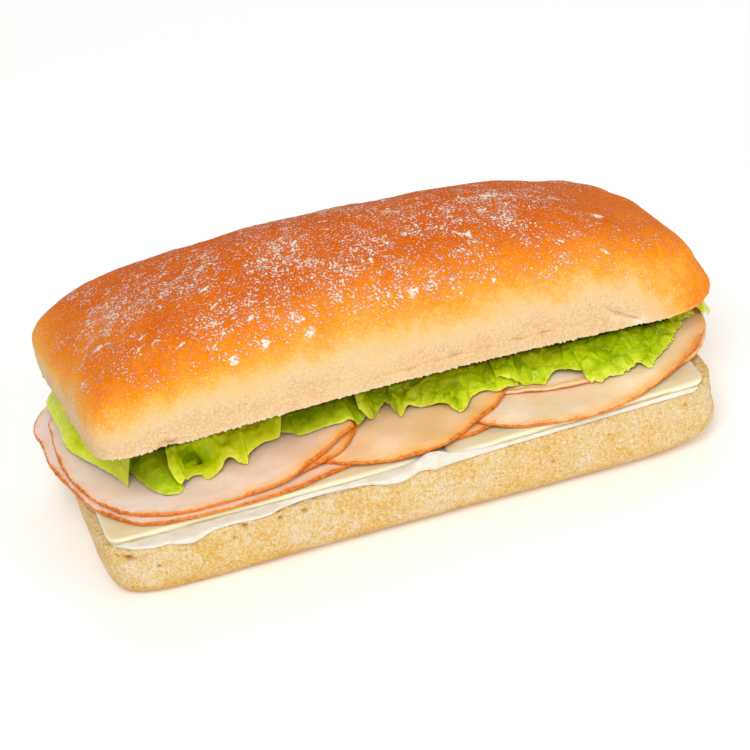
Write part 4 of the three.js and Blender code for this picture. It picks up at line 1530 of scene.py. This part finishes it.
@dataclass(frozen=True)
class Filling:
    """Everything between the two halves of the roll, from the mayonnaise up."""

    heel: Heel
    crown: Crown
    overhang_slope: float = 0.3

    def cheeses(self) -> tuple[CheeseSlice, CheeseSlice]:
        """The two slices, end to end.

        Returns:
            The left one and the right one.
        """
        return (
            CheeseSlice("cheese_left", -46.5, 0.2, 100, 82, -1.5),
            CheeseSlice("cheese_right", 51.5, -2.8, 85, 82, 0.4),
        )

    def turkey(self) -> list[TurkeySlice]:
        """The slices, each with its place, reaches and edge read off the photograph.

        Returns:
            The slices from the lowest to the uppermost.
        """
        rosy = TurkeyMeat(name="turkey_breast_rosy", light="f8e6de", deep="f4d0b2", warmth=0.75)
        # The warm copy has the peach tint of these slices and is made brighter as painted light against
        # the shade under the bread's right end.
        warm_lit = TurkeyMeat(name="turkey_breast_warm_lit", light="fff5e6", deep="ffdfb0", warmth=0.7)
        return [
            TurkeySlice(
                1, -52.5, 18, 55.3, 60, 22, 3.4, meat=rosy, tan=(0.0, 0.5), pushed=(
                    (142, 0), (150, 7.4), (155, 6.6), (159, 3.9), (164, -0.1), (168, -1.9), (182, -1.5),
                    (190, -1.5), (197, -2.6), (204, -4.6), (213, -5.0), (222, -4.4), (230, -3.9),
                    (240, -0.6), (250, -2.2), (265, -1.1), (281, 0.7), (291, -1.4), (297, -1.8), (310, 0),
                ),
            ),
            TurkeySlice(2, 81, 12, 28, 47.6, 27, 2.6, tan=(0.6, 1.0), crust=0.3, meat=warm_lit),
            TurkeySlice(
                3, 11, 14, 29, 54, 24, 2.4,
                pushed=((270, -0.5), (278, 0.5), (282, 1.8), (287, 3.5), (297, 3), (310, 0)),
            ),
            TurkeySlice(
                4, 58, 12, 50.5, 60, 26, 2.3, tan=(0.3, 1.1), crust=0.7, meat=warm_lit, pushed=(
                    (215, 0), (225, 2), (233, 3.4), (237, 4.3), (241, 2.4), (246, -0.1), (254, -0.8),
                    (263, 0), (275, 0), (279, -1.1), (283, -2.3), (288, -3.1), (293, -3.7), (298, -3.5),
                    (306, -2.4), (312, -1.8), (321, 0.4), (327, 1.4), (340, 0),
                ),
            ),
            TurkeySlice(
                5, 50, 14, 38, 46.4, 16, 2.3, tan=(0.2, 0.8), crust=0.1, meat=warm_lit, pushed=(
                    (240, 0), (250, -1.1), (259, -1.7), (264, -2.1), (268, -1.3), (272, 0), (276, 1.5),
                    (283, 2.2), (291, 3.2), (305, 2),
                ),
            ),
            TurkeySlice(
                6, 0, 12, 44.5, 56, 26, 2.3, tan=(0.4, 0.9), pushed=(
                    (245, 0), (252, -0.7), (257, -1.8), (261, -2.7), (264, -3.5), (268, -2.6),
                    (274, -1.7), (282, -2.5), (289, -1.7), (295, -0.7), (302, -0.2), (309, 0.9), (320, 0),
                ),
            ),
            TurkeySlice(
                7, -36, 14, 29, 50, 20, 2.6, tan=(0.4, 0.9),
                pushed=((270, 0), (280, 1.8), (287, 1.3), (293, 1.4), (300, 1)),
            ),
            TurkeySlice(
                8, -51, 16, 51.5, 55.8, 23, 3, lift=2.0, blunt=(5.4, 6.9, 8.5), meat=rosy,
                tan=(0.0, 0.9), pushed=(
                    (158, 0), (163, 2), (169, 0.2), (264, 0.4), (271, 1.7), (278, 1.7), (284, 0),
                    (293, -2.2), (297, -3.3), (302, -3.8), (305, -2.9), (308, -1.4), (315, 0),
                ),
            ),
        ]

    def leaves(self) -> list[Leaf]:
        """The leaves, each with its root and the margin that the photograph shows.

        Returns:
            The leaves from the lowest to the uppermost.
        """
        # The smooth copy is less blistered and darker, partly as painted shade under the bread; the fresh
        # copy is brighter, partly as painted light on the lit ruffles.
        smooth = LettuceLeaf(
            name="lettuce_leaf_smooth_shaded", young_and_glow="bcd61c", full="96b400", deep="5f8000", blisters=0.1,
        )
        fresh = LettuceLeaf(
            name="lettuce_leaf_fresh_lit", young_and_glow="e4f034", full="c6da00", deep="88a400", blisters=0.12,
        )
        return [
            Leaf(
                1, "lettuce_middle", ((-46, 30), (-26, 34), (-6, 34)), (
                    (-38.5, -20, 1.0), (-34.0, -22.5, 0.6), (-32.2, -24.9, 0.3), (-29.8, -25.7, 0.3),
                    (-25.3, -27.1, 0.6), (-19.7, -28.6, 0.8), (-16.9, -27.8, 0.6), (-14.3, -27.7, 0.5),
                    (-9.6, -22.5, 1.5),
                ), 0.55, 1.5, 0.6, fullness=1.8, crinkle=0.35, teeth=0.15, finish=smooth,
            ),
            Leaf(
                2, "lettuce_centre", ((-14, 34), (12, 36), (36, 34)), (
                    (-12.5, -24.5, 1.0), (-9.2, -24.9, 0.5), (-5.4, -20.8, 0.5), (-2.3, -18.2, 2.0),
                    (-1.0, -21.8, 1.0), (0.2, -26.3, 0.3), (3.2, -23.3, 1.6), (4.6, -24.0, 2.0),
                    (7.0, -24.2, 0.6), (9.8, -25.8, 1.0), (13.9, -28.5, 1.8), (15.4, -30.7, 1.0),
                    (17.0, -33.3, 0.3), (19.1, -33.1, 0.8), (22.3, -29.6, 1.2), (26.9, -28.8, 1.0),
                    (30.5, -30.2, 0.8), (35.3, -28.7, 0.8), (38.6, -27.4, 0.4),
                ), 0.6, 4, 1.1, fullness=2.0, crinkle=1.0, teeth=0.25,
            ),
            Leaf(
                3, "lettuce_right", ((31, 32), (60, 28), (86, 18)), (
                    (31.5, -27.4, 0.3), (35.9, -28.2, 0.5), (41.8, -28.4, 0.4), (46.0, -29.4, 0.4),
                    (48.1, -28.5, 1.0), (51.0, -28.0, 2.2), (55.5, -31.5, 2.6), (58.1, -32.4, 1.8),
                    (58.4, -34.8, 0.6), (61.5, -36.0, 0.2), (63.9, -35.8, 1.0), (66.8, -35.4, 0.8),
                    (69.8, -35.3, 0.5), (72.7, -34.8, 1.2), (76.3, -34.0, 1.8), (78.8, -36.0, 0.3),
                    (82.5, -32.7, 0.6), (87.0, -29.2, 1.0), (91.0, -25.2, 0.6), (93.2, -21.7, 1.2),
                    (96.4, -18.8, 0.5), (96.9, -17.0, 1.4), (99.6, -15.4, 0.8), (102.7, -14.5, 1.0),
                ), 0.6, 5, 1.0, fullness=2.0, crinkle=1.0, teeth=0.45, jags=0.8, tuck=0.95,
                cells=(370, 124),
            ),
            Leaf(
                4, "lettuce_tip", ((91, 6), (93, -4), (94, -12)), (
                    (106.5, 4, 1.5), (110.0, -5, 3.5), (110.3, -9, 3.5), (108.5, -12.2, 2.0),
                    (106.0, -14.4, 0.6),
                ), 0.5, 1, 0.4, teeth=0.5, finish=fresh, cells=(140, 60),
            ),
            Leaf(
                5, "lettuce_corner", ((-84, 6), (-76, 8), (-68, 8)), (
                    (-85.5, -9.6, 1.2), (-83.4, -15.3, 0.8), (-80.2, -24.9, 0.4), (-76.8, -30.0, 0.3),
                    (-74.2, -31.2, 0.3), (-72.2, -31.1, 0.2), (-70.6, -29.6, 0.1),
                ), 0.36, 1, 0.3, fullness=1.6, crinkle=0.3, teeth=0.1, finish=smooth,
            ),
            Leaf(
                6, "lettuce_fold", ((-70, 12), (-56, 16), (-40, 16)), (
                    (-73.5, -25.5, 0.8), (-72.6, -28.8, 0.5), (-71.1, -30.0, 0.3), (-69.1, -27.8, 1.2),
                    (-67.1, -26.3, 1.6), (-64.4, -27.3, 1.4), (-62.9, -29.3, 0.5), (-60.7, -29.4, 0.6),
                    (-58.1, -29.3, 2.0), (-55.9, -26.3, 2.4), (-54.0, -26.2, 2.2), (-52.1, -27.8, 0.6),
                    (-50.0, -29.4, 0.4), (-48.4, -26.3, 1.4), (-43.9, -24.9, 1.8), (-38.1, -23.3, 1.0),
                    (-35.5, -18.9, 2.0),
                ), 0.5, 2, 0.8, fullness=1.8, crinkle=0.4, teeth=0.1, hood=(0.27, 0.2, 3.6, 12.0),
                finish=fresh, cells=(260, 180),
            ),
            Leaf(
                7, "lettuce_end", ((-82, 34), (-82, 10), (-75, -10)), (
                    (-98.1, 43, 1.2), (-99.5, 36.0, 1.0), (-99.2, 23.9, 0.8), (-98.9, 18.4, 1.2),
                    (-99.2, 11.4, 0.8), (-98.0, 5.5, 0.6), (-95.3, -0.8, 1.0), (-91.1, -8.8, 0.8),
                    (-88.0, -15.1, 0.6), (-86.2, -20.8, 0.2),
                ), 0.5, 3, 0.5, fullness=1.5, crinkle=0.25, teeth=0.2, finish=fresh,
            ),
        ]

    def level(self, spread: Spread) -> Pile:
        """The pile that the first slice lies on: the cheese, and a slope down past its edges.

        Args:
            spread: The mayonnaise under the cheese.

        Returns:
            The pile.
        """
        pile = Pile()
        x, y = pile.x, pile.y
        left, right = spread.cheeses
        past_x = np.maximum(np.abs(x) - self.heel.length / 2 + 2, 0)
        edge = np.where(x < 6, left.front(x), right.front(x))
        past_y = np.maximum(np.maximum(edge - y, y - spread.back), 0)
        top = spread.cheese_bottom(x) + left.thickness + 0.2
        pile.heights = top - self.overhang_slope * np.hypot(past_x, past_y)
        return pile

    def build(self) -> None:
        """Lays each piece on those below it."""
        spread = Spread(self.heel, self.cheeses())
        spread.build()
        for seed, slice_of_cheese in enumerate(spread.cheeses):
            slice_of_cheese.build(spread, 41 + seed)
        pile = self.level(spread)
        for turkey in self.turkey():
            turkey.build(pile)
        for leaf in self.leaves():
            leaf.build(pile, self.crown)


# Studio


@dataclass(frozen=True)
class Lamp:
    """A soft square light: its place, size and aim in metres and its power in watts."""

    name: str
    place: tuple[float, float, float]
    size: float
    power: float
    aim: tuple[float, float, float] = (0, 0, 0.04)

    def build(self) -> None:
        """Adds the lamp and turns it towards its aim, the middle of the roll."""
        data = bpy.data.lights.new(self.name, "AREA")
        data.size = self.size
        data.energy = self.power
        away = np.array(self.place) - np.array(self.aim)
        side = np.cross([0, 0, 1.0], away)
        put(self.name, data).matrix_world = pose(side, np.cross(away, side), away, self.place)


def pose(right: Array, up: Array, back: Array, place: Array) -> Matrix:
    """A matrix with the given axes, made unit length.

    Args:
        right: Where its X points.
        up: Where its Y points.
        back: Where its Z points.
        place: Where it stands, in metres.

    Returns:
        The matrix.
    """
    axes = [np.asarray(axis, float) / np.linalg.norm(axis) for axis in (right, up, back)]
    turned = np.eye(4)
    turned[:3, :3] = np.stack(axes, axis=1)
    turned[:3, 3] = place
    return Matrix(turned.tolist())


@dataclass(frozen=True)
class Viewpoint:
    """The photograph's camera: its direction and roll in degrees, distance and aim in millimetres."""

    around: float = 14.11
    above: float = 32.98
    roll: float = -6.515
    distance: float = 900.1
    aim: tuple[float, float, float] = (0.05, 0.0, 31.05)
    focal_pixels: float = 2853.0
    image_pixels: float = 750.0
    sensor: float = 36.0

    def build(self) -> None:
        """Stands the camera at its distance, rolled about the line of sight."""
        a, e, r = np.radians([self.around, self.above, self.roll])
        back = np.array([-np.sin(a) * np.cos(e), -np.cos(a) * np.cos(e), np.sin(e)])
        level = np.array([np.cos(a), -np.sin(a), 0])
        up = np.cross(back, level)
        data = bpy.data.cameras.new("photo_camera")
        data.sensor_width = self.sensor
        data.lens = self.focal_pixels / self.image_pixels * self.sensor
        camera = put("photo_camera", data)
        place = (np.array(self.aim) + back * self.distance) * MM
        camera.matrix_world = pose(
            level * np.cos(r) + up * np.sin(r), up * np.cos(r) - level * np.sin(r), back, place,
        )
        bpy.context.scene.camera = camera


@dataclass(frozen=True)
class Studio:
    """A pale floor under plain soft light."""

    lamps: tuple[Lamp, ...] = (
        Lamp("key_left", (-0.45, -0.97, 1.23), 0.7, 15),
        Lamp("fill_right", (0.9, -0.9, 0.6), 0.9, 4.5),
        Lamp("top_back", (0.2, 0.7, 1.2), 0.8, 4.5),
    )
    floor_half: float = 3.0
    floor_roughness: float = 0.9
    floor_drop: float = 0.0002
    floor_colour: str = "fbfaf8"
    floor_glow: float = 0.13
    sky_strength: float = 0.35

    def build(self) -> None:
        """Adds the floor, the sky and the lamps."""
        x = self.floor_half
        mesh = bpy.data.meshes.new("floor")
        mesh.from_pydata([(-x, -x, 0), (x, -x, 0), (x, x, 0), (-x, x, 0)], [], [(0, 1, 2, 3)])
        floor = put("floor", mesh)
        floor.location.z = -self.floor_drop
        material = bpy.data.materials.new("board_painted_matt")
        material.use_nodes = True
        surface = material.node_tree.nodes["Principled BSDF"]
        for name, value in (
            ("Base Color", linear(self.floor_colour)), ("Roughness", self.floor_roughness),
            ("Emission Color", linear("ffffff")), ("Emission Strength", self.floor_glow),
        ):
            surface.inputs[name].default_value = value
        mesh.materials.append(material)
        world = bpy.data.worlds.new("studio")
        world.use_nodes = True
        sky = world.node_tree.nodes["Background"]
        sky.inputs["Color"].default_value = linear("ffffff")
        sky.inputs["Strength"].default_value = self.sky_strength
        bpy.context.scene.world = world
        bpy.context.scene.view_settings.view_transform = "Standard"
        for lamp in self.lamps:
            lamp.build()


def main() -> None:
    """Builds the sandwich, the studio and the camera."""
    logging.basicConfig(level=logging.INFO, format="%(name)s: %(message)s")
    heel, crown = Heel(), Crown()
    heel.build()
    Filling(heel, crown).build()
    crown.build()
    Studio().build()
    Viewpoint().build()


if __name__ == "__main__":
    main()
